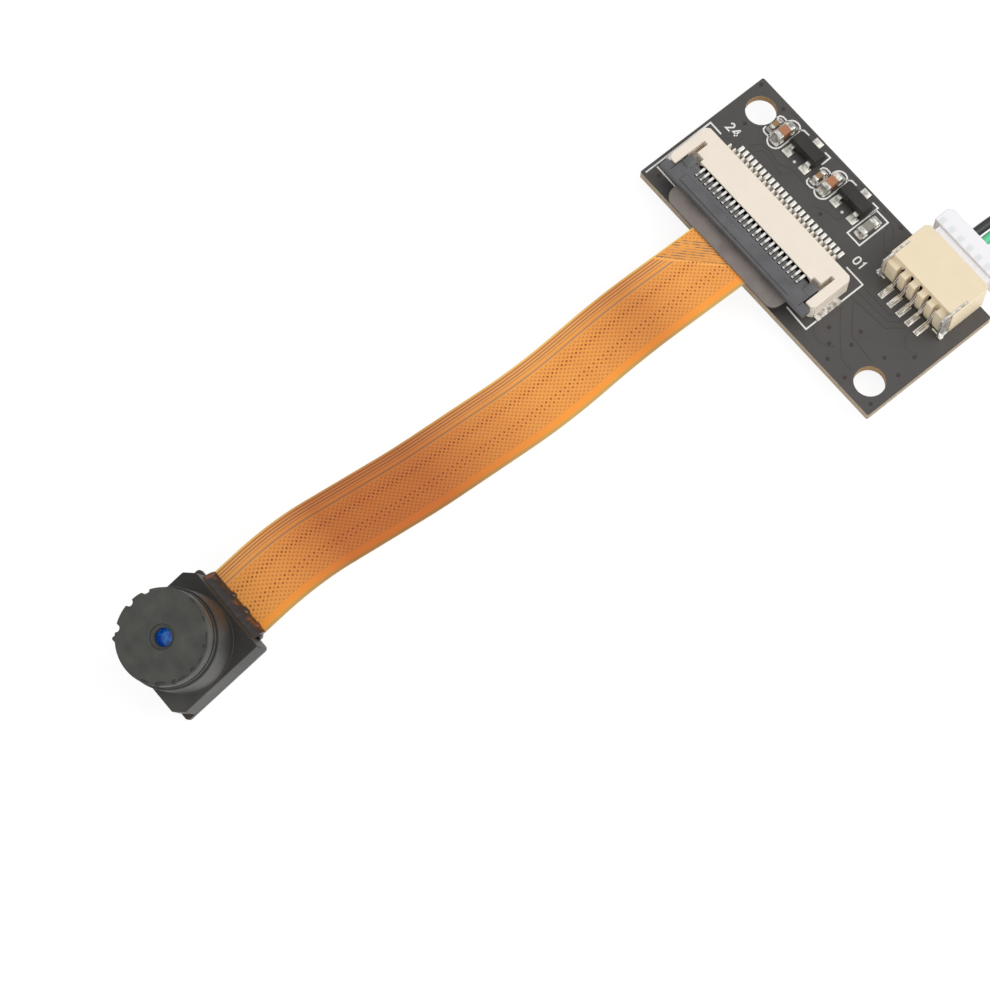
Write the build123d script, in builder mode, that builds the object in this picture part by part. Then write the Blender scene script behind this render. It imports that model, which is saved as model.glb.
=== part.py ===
"""A small camera module: camera head, flexible circuit, controller board and cable. All sizes in millimetres.

The origin is the middle of the two mounting holes, on the board's underside. X runs along the board's long
side, the camera head lies toward -Y, the cable leaves toward +Y, and +Z is up from the surface it rests on.
"""

from build123d import *
from math import cos, pi, radians, sin, tan
import os

os.makedirs("parts", exist_ok=True)

# Board
board_length = 26.2
board_width = 12.7
board_thickness = 0.8
board_corner = 0.15
hole_diameter = 2.5
hole_inset = 2.0
pad_thickness = 0.04
solder_gap = 0.02

# Flat-cable connector; X and Y places are measured from the board's corner beside contact 24
contact_count = 24
contact_pitch = 0.5
connector_middle = 9.25
connector_length = 16.6
connector_height = 2.0
connector_back = 5.9
connector_corner = 0.3
floor_front = 1.95
floor_top = 0.84
arm_front = 1.85
arm_width = 0.8
arm_slot = 0.4
arm_slot_end = 4.85
roof_front = 3.4
roof_step = 0.35
roof_step_width = 0.75
flex_mouth_bottom = 1.27
flex_mouth_clearance = 0.05
column_front = 5.2
column_depth = 0.5
contact_thickness = 0.2
contact_slot = 0.24
beam_bottom = 1.66
beam_top = 1.82
beam_tip = 2.45
nib_length = 0.17
nib_bottom = 1.57
spring_bottom = 0.16
spring_top = 0.42
spring_tip = 1.98
contact_point = 2.5
contact_point_length = 0.2
contact_bend = 0.1
tail_end = 7.5
tail_height = 0.16
hold_down_front = 2.2
hold_down_length = 2.5
hold_down_out = 0.5
hold_down_in = 0.4
hold_down_thickness = 0.15

# Lock bar of the flat-cable connector
pivot_y = 2.95
pivot_z = 1.5
shaft_radius = 0.14
cam_radius = 0.25
bar_front = 0.95
bar_bottom = 1.28
bar_top = 2.05
bar_rear_top = 1.74
bar_slope_start = 2.0
bar_front_slope = 0.25
bar_front_drop = 0.2
panel_rise = 0.1
shoulder_back = 3.35
shoulder_gap = 0.15
shoulder_width = 0.85
wing_back = 1.72
wing_bottom = 1.35
wing_gap = 0.1
wing_drop = 0.12
window_front = 2.35
window_width = 0.3
panel_inset = 1.1
pin_radius = 0.18
pin_reach = 0.35
pin_clearance = 0.03

# Flexible circuit; heights above the board's top
flex_level = 0.95
flex_thickness = 0.12
flex_end_width = 12.5
flex_end_front = -0.3
flex_end_back = 5.1
flex_end_corner = 0.9
flex_start_x = 9.4
flex_width = 6.0
flex_yaw = 1.4
strip_overlap = 1.3
strip_shape = ((0.197, flex_level), (0.346, -1.2), (0.5864, 0.6))
strip_crest_gap = 9.22
strip_bends = (0.4329, 0.3148, 0.4722, 0.1771)
end_stiffener_thickness = 0.2
finger_width = 0.3
finger_length = 3.0
finger_thickness = 0.02

# Camera head; heights in its own frame, from the flexible circuit's top face
head_reach = 50.82
head_tilt = 23.3
head_size = 8.0
head_chamfer = 0.75
head_edge = 0.12
base_height = 2.2
tower_diameter = 7.6
tower_height = 3.3
barrel_diameter = 5.9
thread_clearance = 0.05
flange_diameter = 7.2
flange_thickness = 1.2
lens_height = 5.05
notch_radius = 0.3
notch_angles = (160, 184, 218)
cavity_size = 6.3
cavity_height = 1.35
filter_size = 4.6
filter_thickness = 0.3
filter_clearance = 0.05
window_size = 3.9
window_wall = 0.35
barrel_bore = 4.4
barrel_end = 2.7
front_wall = 1.0
aperture_diameter = 1.4
recess_diameter = 1.9
recess_depth = 0.35
lens_clearance = 0.03
front_lens_thickness = 0.75
lens_dome = 0.08
dome_radius = 0.66
spacer_thickness = 0.25
spacer_bore = 3.2
middle_lens_thickness = 0.7
rear_lens_thickness = 0.65
retainer_bore = 3.4
sensor_size = 4.4
sensor_height = 0.5
sensor_chip = (0.6, 0.3, 0.3)
sensor_chip_pitch = 2.4
glass_height = 0.35
plate_thickness = 0.3
plate_corner = 0.3
glue_start = -55
glue_turn = 190
glue_width = 0.7
adhesive_width = 0.75
adhesive_height = 1.1
adhesive_bulge = 0.62

# Three-lead regulators and two-terminal chips on top of the board
regulator_places = ((6.9, 11.05), (12.4, 11.05))
regulator_length = 2.9
regulator_width = 1.3
regulator_height = 1.05
regulator_standoff = 0.08
regulator_draft = 12
lead_width = 0.42
lead_thickness = 0.13
lead_level = 0.5
lead_reach = 0.6
lead_foot = 0.35
lead_spread = 0.95
lead_slope = 0.05
lead_bend = 0.09
small_chip = (1.0, 0.5, 0.5)
small_chip_places = ((3.7, 10.65), (9.1, 10.3))
large_chip = (1.6, 0.8, 0.8)
large_chip_places = ((4.64, 10.68), (10.15, 10.63))
resistor_chip = (1.6, 0.8, 0.45)
resistor_places = ((14.65, 10.4),)
end_cap_share = 0.27
end_cap_wrap = 0.03
pad_margin = 0.1

# Cable socket and the plug in it
socket_pins = 5
socket_pitch = 1.0
socket_middle = 21.5
socket_width = 7.0
socket_back = 9.35
socket_front = 13.15
socket_height = 2.95
socket_wall = 0.5
socket_rear_wall = 0.9
rib_back = 8.65
rib_width = 0.62
rib_top = 2.45
rib_foot = 0.12
rib_side_inset = 0.3
rib_top_inset = 0.1
rib_knee_share = 0.6
socket_corner = 0.3
socket_tab_inset = 0.22
socket_tab_thickness = 0.16
socket_tab_back = 8.35
socket_tab_front = 11.0
socket_tab_height = 2.98
socket_tab_foot = 0.35
socket_tab_foot_thickness = 0.2
socket_pin_size = 0.3
socket_pin_level = 1.4
socket_pin_tip = 12.3
socket_tail_end = 7.35
socket_tail_drop = 8.45
socket_tail_height = 0.32
socket_pin_bend = 0.1
plug_clearance = 0.08
plug_neck_end = 13.9
plug_flange_end = 15.6
plug_flange_top = 2.6
plug_flange_bottom = 0.28
plug_corner = 0.35
plug_tip_gap = 0.3
terminal_size = 0.62
terminal_bore = 0.36
terminal_start = 10.6
terminal_end = 14.6
terminal_grip = 0.4
wire_bore_clearance = 0.05

# Cable
wire_diameter = 0.8
wire_routes = {
    "wire_black": ((0.0, 0.0, 0.0), (0.15, 5.4, 0.15), (1.2, 13.5, -0.1), (2.7, 22.0, -0.75)),
    "wire_green": ((0.0, 0.0, 0.0), (-0.1, 5.6, -0.35), (0.6, 14.0, -1.2), (1.9, 22.4, -1.65)),
    "wire_white": ((0.0, 0.0, 0.0), (0.25, 5.2, 0.1), (1.3, 13.8, -0.15), (1.9, 22.2, -0.75)),
    "wire_red": ((0.0, 0.0, 0.0), (0.1, 5.0, -0.3), (0.5, 13.9, -1.25), (0.95, 22.3, -1.6)),
}
bundle_sides = {"wire_black": (-1, 1), "wire_green": (-1, -1), "wire_white": (1, 1), "wire_red": (1, -1)}
bundle_spread = 0.53
bundle_length = 6.0
rest_depth = 0.9
sleeve_x = 11.0
sleeve_start = 40.0
sleeve_length = 10.0
sleeve_wall = 0.3
sleeve_clearance = 0.02
jacket_start = 43.0
lead_straight_end = 51.0
lead_bow = (0.35, 60.5)
lead_end_gap = 6.5
cable_diameter = 3.0
coil_start_y = 76.0
coil_straight = 22.0
coil_inner_radius = 9.0
coil_turns = 2.5
tie_width = 4.0
tie_thickness = 0.4
tie_corner = 0.3
cable_bend_share = 0.45
tail_overlap = 3.0
tail_level_run = 3.5
tail_drop = 0.1

# Host plug
host_tip_y = 24.5
shell_width = 12.0
shell_height = 4.5
shell_wall = 0.3
shell_exposed = 18.7
shell_buried = 3.0
shell_corner = 0.6
shell_window = (2.0, 1.6)
shell_window_pitch = 4.6
shell_window_place = 6.5
overmould_width = 15.6
overmould_height = 7.8
overmould_length = 18.0
overmould_corner = 2.2
overmould_round = 1.0
relief_length = 4.0
relief_diameter = 5.0
insulator_thickness = 1.8
insulator_gap = 0.05
insulator_inset = 0.8
host_contact_count = 4
host_contact_inset = 1.6
host_contact_width = 1.0
host_contact_pitch = 2.25
host_contact_thickness = 0.15
host_contact_length = 14.0

# Parts on the board's underside
controller_size = 7.0
controller_height = 0.85
controller_place = (12.6, 6.3)
crystal_size = (2.5, 3.2)
crystal_height = 0.7
crystal_base_height = 0.3
crystal_can_margin = 0.15
crystal_can_corner = 0.3
crystal_place = (5.6, 4.2)
memory_size = (3.0, 2.0)
memory_height = 0.6
memory_place = (20.0, 8.2)
under_chip_places = ((7.4, 8.6), (18.0, 3.4), (17.6, 5.4), (12.6, 11.3))

# Values worked out from the sizes above
hole_places = ((hole_inset, board_width - hole_inset), (board_length - hole_inset, hole_inset))
corner = Vector(-board_length / 2, -board_width / 2, 0)
deck = Plane(origin=corner + Vector(0, 0, board_thickness))
belly = Plane(origin=corner)
section = Plane(origin=deck.origin, x_dir=(0, 1, 0), z_dir=(1, 0, 0))
connector_start = connector_middle - connector_length / 2
first_contact = connector_middle - (contact_count - 1) * contact_pitch / 2
contact_places = [first_contact + i * contact_pitch for i in range(contact_count)]
first_socket_pin = socket_middle - (socket_pins - 1) * socket_pitch / 2
socket_places = [first_socket_pin + i * socket_pitch for i in range(socket_pins)]
wire_places = dict(zip(wire_routes, socket_places[1:]))
rest_level = -rest_depth


def write(builder, node):
    """Label a finished sub-part and write it as one file."""
    builder.part.label = node
    export_step(builder.part, f"parts/{node}.step")


def block(plane, x_range, y_range, z_range, mode=Mode.ADD):
    """A box between the given places in a plane's own frame, for use inside a part block."""
    with BuildSketch(plane.offset(z_range[0])) as outline:
        with Locations(((x_range[0] + x_range[1]) / 2, (y_range[0] + y_range[1]) / 2)):
            Rectangle(x_range[1] - x_range[0], y_range[1] - y_range[0])
    extrude(outline.sketch, amount=z_range[1] - z_range[0], mode=mode)


# Board: a flat plate with two mounting holes on one diagonal
with BuildPart() as board:
    with BuildSketch(belly):
        with Locations((board_length / 2, board_width / 2)):
            RectangleRounded(board_length, board_width, board_corner)
        with Locations(*hole_places):
            Circle(hole_diameter / 2, mode=Mode.SUBTRACT)
    extrude(amount=board_thickness)
write(board, "circuit_board")

# Flat-cable connector housing: floor, back wall, roof and two slotted end arms
arm_inner = connector_start + arm_width
arm_outer_end = connector_start + connector_length
roof_start = arm_inner + arm_slot
roof_end = arm_outer_end - arm_width - arm_slot
mouth_start = connector_middle - flex_end_width / 2 - flex_mouth_clearance
mouth_end = connector_middle + flex_end_width / 2 + flex_mouth_clearance
with BuildPart() as connector_housing:
    block(deck, (connector_start, arm_outer_end), (floor_front, connector_back), (solder_gap, floor_top))
    block(deck, (connector_start, arm_inner), (arm_front, connector_back), (solder_gap, connector_height))
    block(deck, (arm_outer_end - arm_width, arm_outer_end), (arm_front, connector_back),
          (solder_gap, connector_height))
    block(deck, (arm_inner, arm_outer_end - arm_width), (arm_slot_end, connector_back),
          (floor_top, connector_height))
    block(deck, (roof_start, roof_end), (roof_front + roof_step, connector_back), (floor_top, connector_height))
    block(deck, (roof_start + roof_step_width, roof_end - roof_step_width), (roof_front, connector_back),
          (floor_top, connector_height))
    block(deck, (mouth_start, mouth_end), (floor_front, column_front), (floor_top, flex_mouth_bottom),
          mode=Mode.SUBTRACT)
    for x in contact_places:
        block(deck, (x - contact_slot / 2, x + contact_slot / 2), (floor_front, connector_back),
              (tail_height - solder_gap, beam_top + solder_gap), mode=Mode.SUBTRACT)
    for side_x in (connector_start, arm_outer_end):
        block(deck, (side_x - hold_down_in, side_x + hold_down_in),
              (hold_down_front, hold_down_front + hold_down_length),
              (solder_gap, solder_gap + hold_down_thickness), mode=Mode.SUBTRACT)
    with BuildSketch(section.offset(arm_inner - pin_reach)):
        with Locations((pivot_y, pivot_z)):
            Circle(pin_radius + pin_clearance)
    extrude(amount=connector_length - 2 * (arm_width - pin_reach), mode=Mode.SUBTRACT)
    for end in (0, -1):
        upright = connector_housing.edges().filter_by(Axis.Z)
        back_edge = upright.group_by(Axis.Y)[-1].sort_by(Axis.X)[end]
        arm_edge = upright.group_by(Axis.Y)[0].sort_by(Axis.X)[end]
        chamfer((back_edge, arm_edge), connector_corner)
write(connector_housing, "connector_housing")

# Contact: one stamped blade with a solder tail, a spring under the flexible circuit and a hook over the shaft
contact_level = flex_level - flex_thickness / 2 - finger_thickness
contact_outline = (
    (tail_end, pad_thickness),
    (tail_end, tail_height),
    (connector_back + contact_bend, tail_height),
    (column_front + column_depth, spring_top),
    (column_front + column_depth, beam_top),
    (beam_tip, beam_top),
    (beam_tip, nib_bottom),
    (beam_tip + nib_length, nib_bottom),
    (beam_tip + nib_length, beam_bottom),
    (column_front, beam_bottom),
    (column_front, spring_top),
    (contact_point + 1.5 * contact_point_length, spring_top),
    (contact_point + contact_point_length / 2, contact_level),
    (contact_point - contact_point_length / 2, contact_level),
    (spring_tip, spring_top),
    (spring_tip, spring_bottom),
    (connector_back - contact_bend, spring_bottom),
    (connector_back + contact_bend, pad_thickness),
)
with BuildPart() as contact:
    with BuildSketch(section):
        with BuildLine():
            Polyline(*contact_outline, close=True)
        make_face()
    extrude(amount=contact_thickness / 2, both=True)
with BuildPart() as contacts:
    with Locations(*[(x, 0, 0) for x in contact_places]):
        add(contact.part)
write(contacts, "connector_contacts")

# Hold-down tabs: flat plates under both ends of the connector, soldered to the board
with BuildPart() as hold_downs:
    for side_x, outward in ((connector_start, -1), (arm_outer_end, 1)):
        inner_x = side_x - outward * hold_down_in
        outer_x = side_x + outward * hold_down_out
        block(deck, (min(inner_x, outer_x), max(inner_x, outer_x)),
              (hold_down_front, hold_down_front + hold_down_length),
              (solder_gap, solder_gap + hold_down_thickness))
write(hold_downs, "connector_hold_downs")

# Lock bar: a flip-up lever that turns on the shaft under the contact hooks
shoulder_start = arm_inner + shoulder_gap
shoulder_end = arm_outer_end - arm_width - shoulder_gap
bar_plane = bar_top - panel_rise
bar_outline = (
    (bar_front, bar_bottom),
    (pivot_y, bar_bottom),
    (pivot_y, bar_rear_top),
    (bar_slope_start, bar_plane),
    (bar_front + bar_front_slope, bar_plane),
    (bar_front, bar_plane - bar_front_drop),
)
with BuildPart() as lock_bar:
    with BuildSketch(section.offset(shoulder_start)):
        with BuildLine():
            Polyline(*bar_outline, close=True)
        make_face()
        with Locations((pivot_y, pivot_z)):
            Circle(cam_radius)
    extrude(amount=shoulder_end - shoulder_start)
    for x in contact_places:
        block(deck, (x - window_width / 2, x + window_width / 2), (window_front, shoulder_back),
              (0, bar_top), mode=Mode.SUBTRACT)
    with BuildSketch(section.offset(arm_inner - pin_reach + pin_clearance)):
        with Locations((pivot_y, pivot_z)):
            Circle(shaft_radius)
    extrude(amount=arm_outer_end - connector_start - 2 * (arm_width - pin_reach + pin_clearance))
    for start in (shoulder_start, shoulder_end - shoulder_width):
        block(deck, (start, start + shoulder_width), (window_front, shoulder_back),
              (bar_bottom, bar_plane))
    for start in (arm_inner - pin_reach + pin_clearance, shoulder_end):
        with BuildSketch(section.offset(start)):
            with Locations((pivot_y, pivot_z)):
                Circle(pin_radius)
        extrude(amount=pin_reach + shoulder_gap - pin_clearance)
    block(deck, (connector_start + wing_gap, arm_outer_end - wing_gap), (bar_front, wing_back),
          (wing_bottom, bar_top - wing_drop))
    block(deck, (shoulder_start + panel_inset, shoulder_end - panel_inset),
          (bar_front + bar_front_slope, bar_slope_start - panel_rise), (bar_plane - panel_rise, bar_top))
write(lock_bar, "lock_bar")

# Flexible circuit: wide end in the connector, narrow strip, square pad under the camera head
head_stack = flex_thickness / 2 + plate_thickness
tilt = radians(head_tilt)
yaw = radians(flex_yaw)
along = Vector(-sin(yaw), -cos(yaw), 0)
pad_height = rest_level - board_thickness + head_size / 2 * sin(tilt) + head_stack * cos(tilt)
pad_reach = head_size / 2 * cos(tilt)
strip_start = (-flex_end_front - strip_overlap, flex_level)
flex_route = (
    strip_start,
    *[(share * head_reach, level) for share, level in strip_shape],
    (head_reach - strip_crest_gap, pad_height + strip_crest_gap * tan(tilt)),
    (head_reach + pad_reach, pad_height - pad_reach * tan(tilt)),
)
strip_origin = deck.origin + Vector(flex_start_x, 0, 0)
strip_side = Plane(origin=strip_origin, x_dir=along, z_dir=along.cross(Vector(0, 0, 1)))
head_x = Vector(cos(yaw), -sin(yaw), 0)
up_slope = -(along * cos(tilt)) + Vector(0, 0, sin(tilt))
head_pad = Plane(
    origin=strip_origin + along * head_reach + Vector(0, 0, pad_height),
    x_dir=head_x,
    z_dir=head_x.cross(up_slope),
)
head = head_pad.offset(flex_thickness / 2)
with BuildPart() as flex:
    with BuildSketch(deck.offset(flex_level - flex_thickness / 2)):
        with Locations((connector_middle, (flex_end_front + flex_end_back) / 2)):
            Rectangle(flex_end_width, flex_end_back - flex_end_front)
    extrude(amount=flex_thickness)
    fillet(flex.edges().filter_by(Axis.Z).group_by(Axis.Y)[0], flex_end_corner)
    with BuildSketch(strip_side):
        with BuildLine():
            FilletPolyline(*flex_route, radius=[share * head_reach for share in strip_bends])
        trace(line_width=flex_thickness)
    extrude(amount=flex_width / 2, both=True)
    with BuildSketch(head_pad.offset(-flex_thickness / 2)):
        RectangleRounded(head_size, head_size, plate_corner)
    extrude(amount=flex_thickness)
write(flex, "flexible_circuit")
print("flexible circuit solids", len(flex.part.solids()), "volume", round(flex.part.volume, 3))

# Stiffener on the flexible circuit's connector end
with BuildPart() as end_stiffener:
    with BuildSketch(deck.offset(flex_level + flex_thickness / 2)):
        with Locations((connector_middle, (flex_end_front + flex_end_back) / 2)):
            Rectangle(flex_end_width, flex_end_back - flex_end_front)
    extrude(amount=end_stiffener_thickness)
    fillet(end_stiffener.edges().filter_by(Axis.Z).group_by(Axis.Y)[0], flex_end_corner)
write(end_stiffener, "flex_end_stiffener")

# Contact fingers on the underside of that end
with BuildPart() as fingers:
    with BuildSketch(deck.offset(flex_level - flex_thickness / 2)):
        with Locations(*[(x, flex_end_back - finger_length / 2) for x in contact_places]):
            Rectangle(finger_width, finger_length)
    extrude(amount=-finger_thickness)
write(fingers, "flex_contact_fingers")

# Plate under the camera head
with BuildPart() as head_plate:
    with BuildSketch(head_pad.offset(-flex_thickness / 2)):
        RectangleRounded(head_size, head_size, plate_corner)
    extrude(amount=-plate_thickness)
write(head_plate, "head_plate")

# Image sensor, its cover glass and four small capacitors beside it
with BuildPart() as sensor:
    with BuildSketch(head):
        Rectangle(sensor_size, sensor_size)
    extrude(amount=sensor_height)
write(sensor, "image_sensor")

with BuildPart() as sensor_glass:
    with BuildSketch(head.offset(sensor_height)):
        Rectangle(sensor_size, sensor_size)
    extrude(amount=glass_height)
write(sensor_glass, "sensor_cover_glass")

sensor_chip_x = (sensor_size / 2 + cavity_size / 2) / 2
with BuildPart() as sensor_chips:
    with BuildSketch(head):
        with GridLocations(2 * sensor_chip_x, sensor_chip_pitch, 2, 2):
            Rectangle(sensor_chip[1], sensor_chip[0])
    extrude(amount=sensor_chip[2])
write(sensor_chips, "sensor_capacitors")

# Lens holder: square base with a cavity for the sensor, round tower with a threaded bore
filter_bottom = cavity_height
window_bottom = filter_bottom + filter_thickness
bore_bottom = window_bottom + window_wall
tower_top = base_height + tower_height
bore_radius = barrel_diameter / 2 + thread_clearance
with BuildPart() as lens_holder:
    with BuildSketch(head):
        Rectangle(head_size, head_size)
    extrude(amount=base_height)
    corner_edges = lens_holder.edges().filter_by(Axis(head.origin, head.z_dir))
    by_x = corner_edges.sort_by(lambda edge: head.to_local_coords(edge.center()).X)
    by_y_left = by_x[:2].sort_by(lambda edge: head.to_local_coords(edge.center()).Y)
    by_y_right = by_x[2:].sort_by(lambda edge: head.to_local_coords(edge.center()).Y)
    cut_corners = (by_y_left[1], by_y_right[0])
    plain_corners = (by_y_left[0], by_y_right[1])
    chamfer(cut_corners, head_chamfer)
    fillet(plain_corners, head_edge)
    with BuildSketch(head.offset(base_height)):
        Circle(tower_diameter / 2)
    extrude(amount=tower_height)
    with BuildSketch(head):
        Rectangle(cavity_size, cavity_size)
    extrude(amount=cavity_height, mode=Mode.SUBTRACT)
    with BuildSketch(head.offset(filter_bottom)):
        Rectangle(filter_size + 2 * filter_clearance, filter_size + 2 * filter_clearance)
    extrude(amount=filter_thickness, mode=Mode.SUBTRACT)
    with BuildSketch(head.offset(window_bottom)):
        Circle(window_size / 2)
    extrude(amount=window_wall, mode=Mode.SUBTRACT)
    with BuildSketch(head.offset(bore_bottom)):
        Circle(bore_radius)
    extrude(amount=tower_top - bore_bottom, mode=Mode.SUBTRACT)
write(lens_holder, "lens_holder")

with BuildPart() as infrared_filter:
    with BuildSketch(head.offset(filter_bottom)):
        Rectangle(filter_size, filter_size)
    extrude(amount=filter_thickness)
write(infrared_filter, "infrared_filter")

# Lens barrel: notched flange in front, threaded body, stepped aperture and one straight bore for the lenses
lens_front = base_height + lens_height
flange_bottom = lens_front - flange_thickness
bore_top = lens_front - front_wall
with BuildPart() as lens_barrel:
    with BuildSketch(head.offset(barrel_end)):
        Circle(barrel_diameter / 2)
    extrude(amount=flange_bottom - barrel_end)
    with BuildSketch(head.offset(flange_bottom)):
        Circle(flange_diameter / 2)
        with Locations(*[
            (flange_diameter / 2 * cos(radians(angle)), flange_diameter / 2 * sin(radians(angle)))
            for angle in notch_angles
        ]):
            Circle(notch_radius, mode=Mode.SUBTRACT)
    extrude(amount=flange_thickness)
    with BuildSketch(head.offset(barrel_end)):
        Circle(barrel_bore / 2)
    extrude(amount=bore_top - barrel_end, mode=Mode.SUBTRACT)
    with BuildSketch(head.offset(bore_top)):
        Circle(aperture_diameter / 2)
    extrude(amount=front_wall, mode=Mode.SUBTRACT)
    with BuildSketch(head.offset(lens_front - recess_depth)):
        Circle(recess_diameter / 2)
    extrude(amount=recess_depth, mode=Mode.SUBTRACT)
write(lens_barrel, "lens_barrel")

# Lenses, the spacers between them and the ring that holds them, from the front down
stack_radius = barrel_bore / 2 - lens_clearance
half_section = Plane(origin=head.origin, x_dir=head.x_dir, z_dir=-head.y_dir)
lens_axis = Axis(head.origin, head.z_dir)


def half_lens(bottom, thickness, dome):
    """Outline of half a lens: flat rim, and a front that rises by the dome over the rim's level."""
    rim_top = bottom + thickness
    with BuildSketch(half_section) as outline:
        with BuildLine():
            Polyline((dome_radius, rim_top), (stack_radius, rim_top), (stack_radius, bottom), (0, bottom),
                     (0, rim_top + dome))
            RadiusArc((0, rim_top + dome), (dome_radius, rim_top), (dome_radius ** 2 + dome ** 2) / (2 * dome))
        make_face()
    return outline.sketch


front_lens_bottom = bore_top - front_lens_thickness
with BuildPart() as front_lens:
    revolve(half_lens(front_lens_bottom, front_lens_thickness, lens_dome), axis=lens_axis)
write(front_lens, "front_lens")

front_spacer_bottom = front_lens_bottom - spacer_thickness
middle_lens_bottom = front_spacer_bottom - middle_lens_thickness
rear_spacer_bottom = middle_lens_bottom - spacer_thickness
rear_lens_bottom = rear_spacer_bottom - rear_lens_thickness
with BuildPart() as middle_lens:
    revolve(half_lens(middle_lens_bottom, middle_lens_thickness, lens_dome), axis=lens_axis)
write(middle_lens, "middle_lens")

with BuildPart() as rear_lens:
    revolve(half_lens(rear_lens_bottom, rear_lens_thickness, lens_dome), axis=lens_axis)
write(rear_lens, "rear_lens")

with BuildPart() as spacers:
    for level in (front_spacer_bottom, rear_spacer_bottom):
        with BuildSketch(head.offset(level)):
            Circle(stack_radius)
            Circle(spacer_bore / 2, mode=Mode.SUBTRACT)
        extrude(amount=spacer_thickness)
write(spacers, "lens_spacers")

with BuildPart() as retainer:
    with BuildSketch(head.offset(barrel_end)):
        Circle(stack_radius)
        Circle(retainer_bore / 2, mode=Mode.SUBTRACT)
    extrude(amount=rear_lens_bottom - barrel_end)
write(retainer, "lens_retaining_ring")

# Glue between flange and tower, and adhesive along the holder's edge on the flexible circuit
with BuildPart() as lock_glue:
    with BuildSketch(Plane(origin=head.origin, x_dir=head.x_dir.rotate(Axis((0, 0, 0), head.z_dir), glue_start),
                           z_dir=(-head.y_dir).rotate(Axis((0, 0, 0), head.z_dir), glue_start))):
        with Locations((barrel_diameter / 2 + glue_width / 2, (tower_top + flange_bottom) / 2)):
            Rectangle(glue_width, flange_bottom - tower_top)
    revolve(axis=lens_axis, revolution_arc=glue_turn)
write(lock_glue, "lens_lock_glue")

holder_edge = head_size / 2
with BuildPart() as adhesive:
    with BuildSketch(Plane(origin=head.origin - head.x_dir * (flex_width / 2), x_dir=head.y_dir,
                           z_dir=head.x_dir)):
        with BuildLine():
            Polyline((holder_edge + adhesive_width, 0), (holder_edge, 0), (holder_edge, adhesive_height))
            ThreePointArc((holder_edge, adhesive_height),
                          (holder_edge + adhesive_width * adhesive_bulge, adhesive_height * adhesive_bulge),
                          (holder_edge + adhesive_width, 0))
        make_face()
    extrude(amount=flex_width)
write(adhesive, "holder_adhesive")


def chip_bodies(plane, places, size, turn):
    """Ceramic bodies of two-terminal chips along Y, standing off a plane to one side of it."""
    length, width, height = size
    cap = length * end_cap_share
    with BuildSketch(plane.offset(turn * (pad_thickness + end_cap_wrap))) as outline:
        with Locations(*places):
            Rectangle(width - 2 * end_cap_wrap, length - 2 * cap)
    extrude(outline.sketch, amount=turn * (height - 2 * end_cap_wrap))


def chip_caps(plane, places, size, turn):
    """Metal end caps of the same chips."""
    length, width, height = size
    cap = length * end_cap_share
    with BuildSketch(plane.offset(turn * pad_thickness)) as outline:
        with Locations(*places):
            with GridLocations(0, length - cap, 1, 2):
                Rectangle(width, cap)
    extrude(outline.sketch, amount=turn * height)


chip_groups = (
    ("small_capacitor", deck, small_chip_places, small_chip, 1),
    ("large_capacitor", deck, large_chip_places, large_chip, 1),
    ("chip_resistor", deck, resistor_places, resistor_chip, 1),
    ("underside_capacitor", belly, under_chip_places, small_chip, -1),
)
for name, plane, places, size, turn in chip_groups:
    with BuildPart() as bodies:
        chip_bodies(plane, places, size, turn)
    write(bodies, f"{name}_bodies")
    with BuildPart() as caps:
        chip_caps(plane, places, size, turn)
    write(caps, f"{name}_caps")

# Regulators: moulded body with drafted sides, two leads on one side and one on the other
with BuildPart() as regulators:
    with BuildSketch(deck.offset(lead_level)):
        with Locations(*regulator_places):
            Rectangle(regulator_length, regulator_width)
    extrude(amount=regulator_height + regulator_standoff - lead_level, taper=regulator_draft)
    with BuildSketch(deck.offset(lead_level)):
        with Locations(*regulator_places):
            Rectangle(regulator_length, regulator_width)
    extrude(amount=-(lead_level - regulator_standoff), taper=regulator_draft)
write(regulators, "regulator_bodies")

foot_level = pad_thickness + lead_thickness / 2
with BuildPart() as lead:
    with BuildSketch(Plane(origin=(0, 0, 0), x_dir=(0, 1, 0), z_dir=(1, 0, 0))):
        with BuildLine():
            FilletPolyline(
                (regulator_width / 2, lead_level),
                (regulator_width / 2 + lead_reach - lead_foot, lead_level),
                (regulator_width / 2 + lead_reach - lead_foot + lead_slope, foot_level),
                (regulator_width / 2 + lead_reach, foot_level),
                radius=lead_bend,
            )
        trace(line_width=lead_thickness)
    extrude(amount=lead_width / 2, both=True)
with BuildPart() as leads:
    for x, y in regulator_places:
        place = deck.origin + Vector(x, y, 0)
        with Locations(Location(place)):
            add(lead.part)
        with Locations(Location(place - Vector(lead_spread, 0, 0), (0, 0, 180)),
                       Location(place + Vector(lead_spread, 0, 0), (0, 0, 180))):
            add(lead.part)
write(leads, "regulator_leads")

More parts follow.
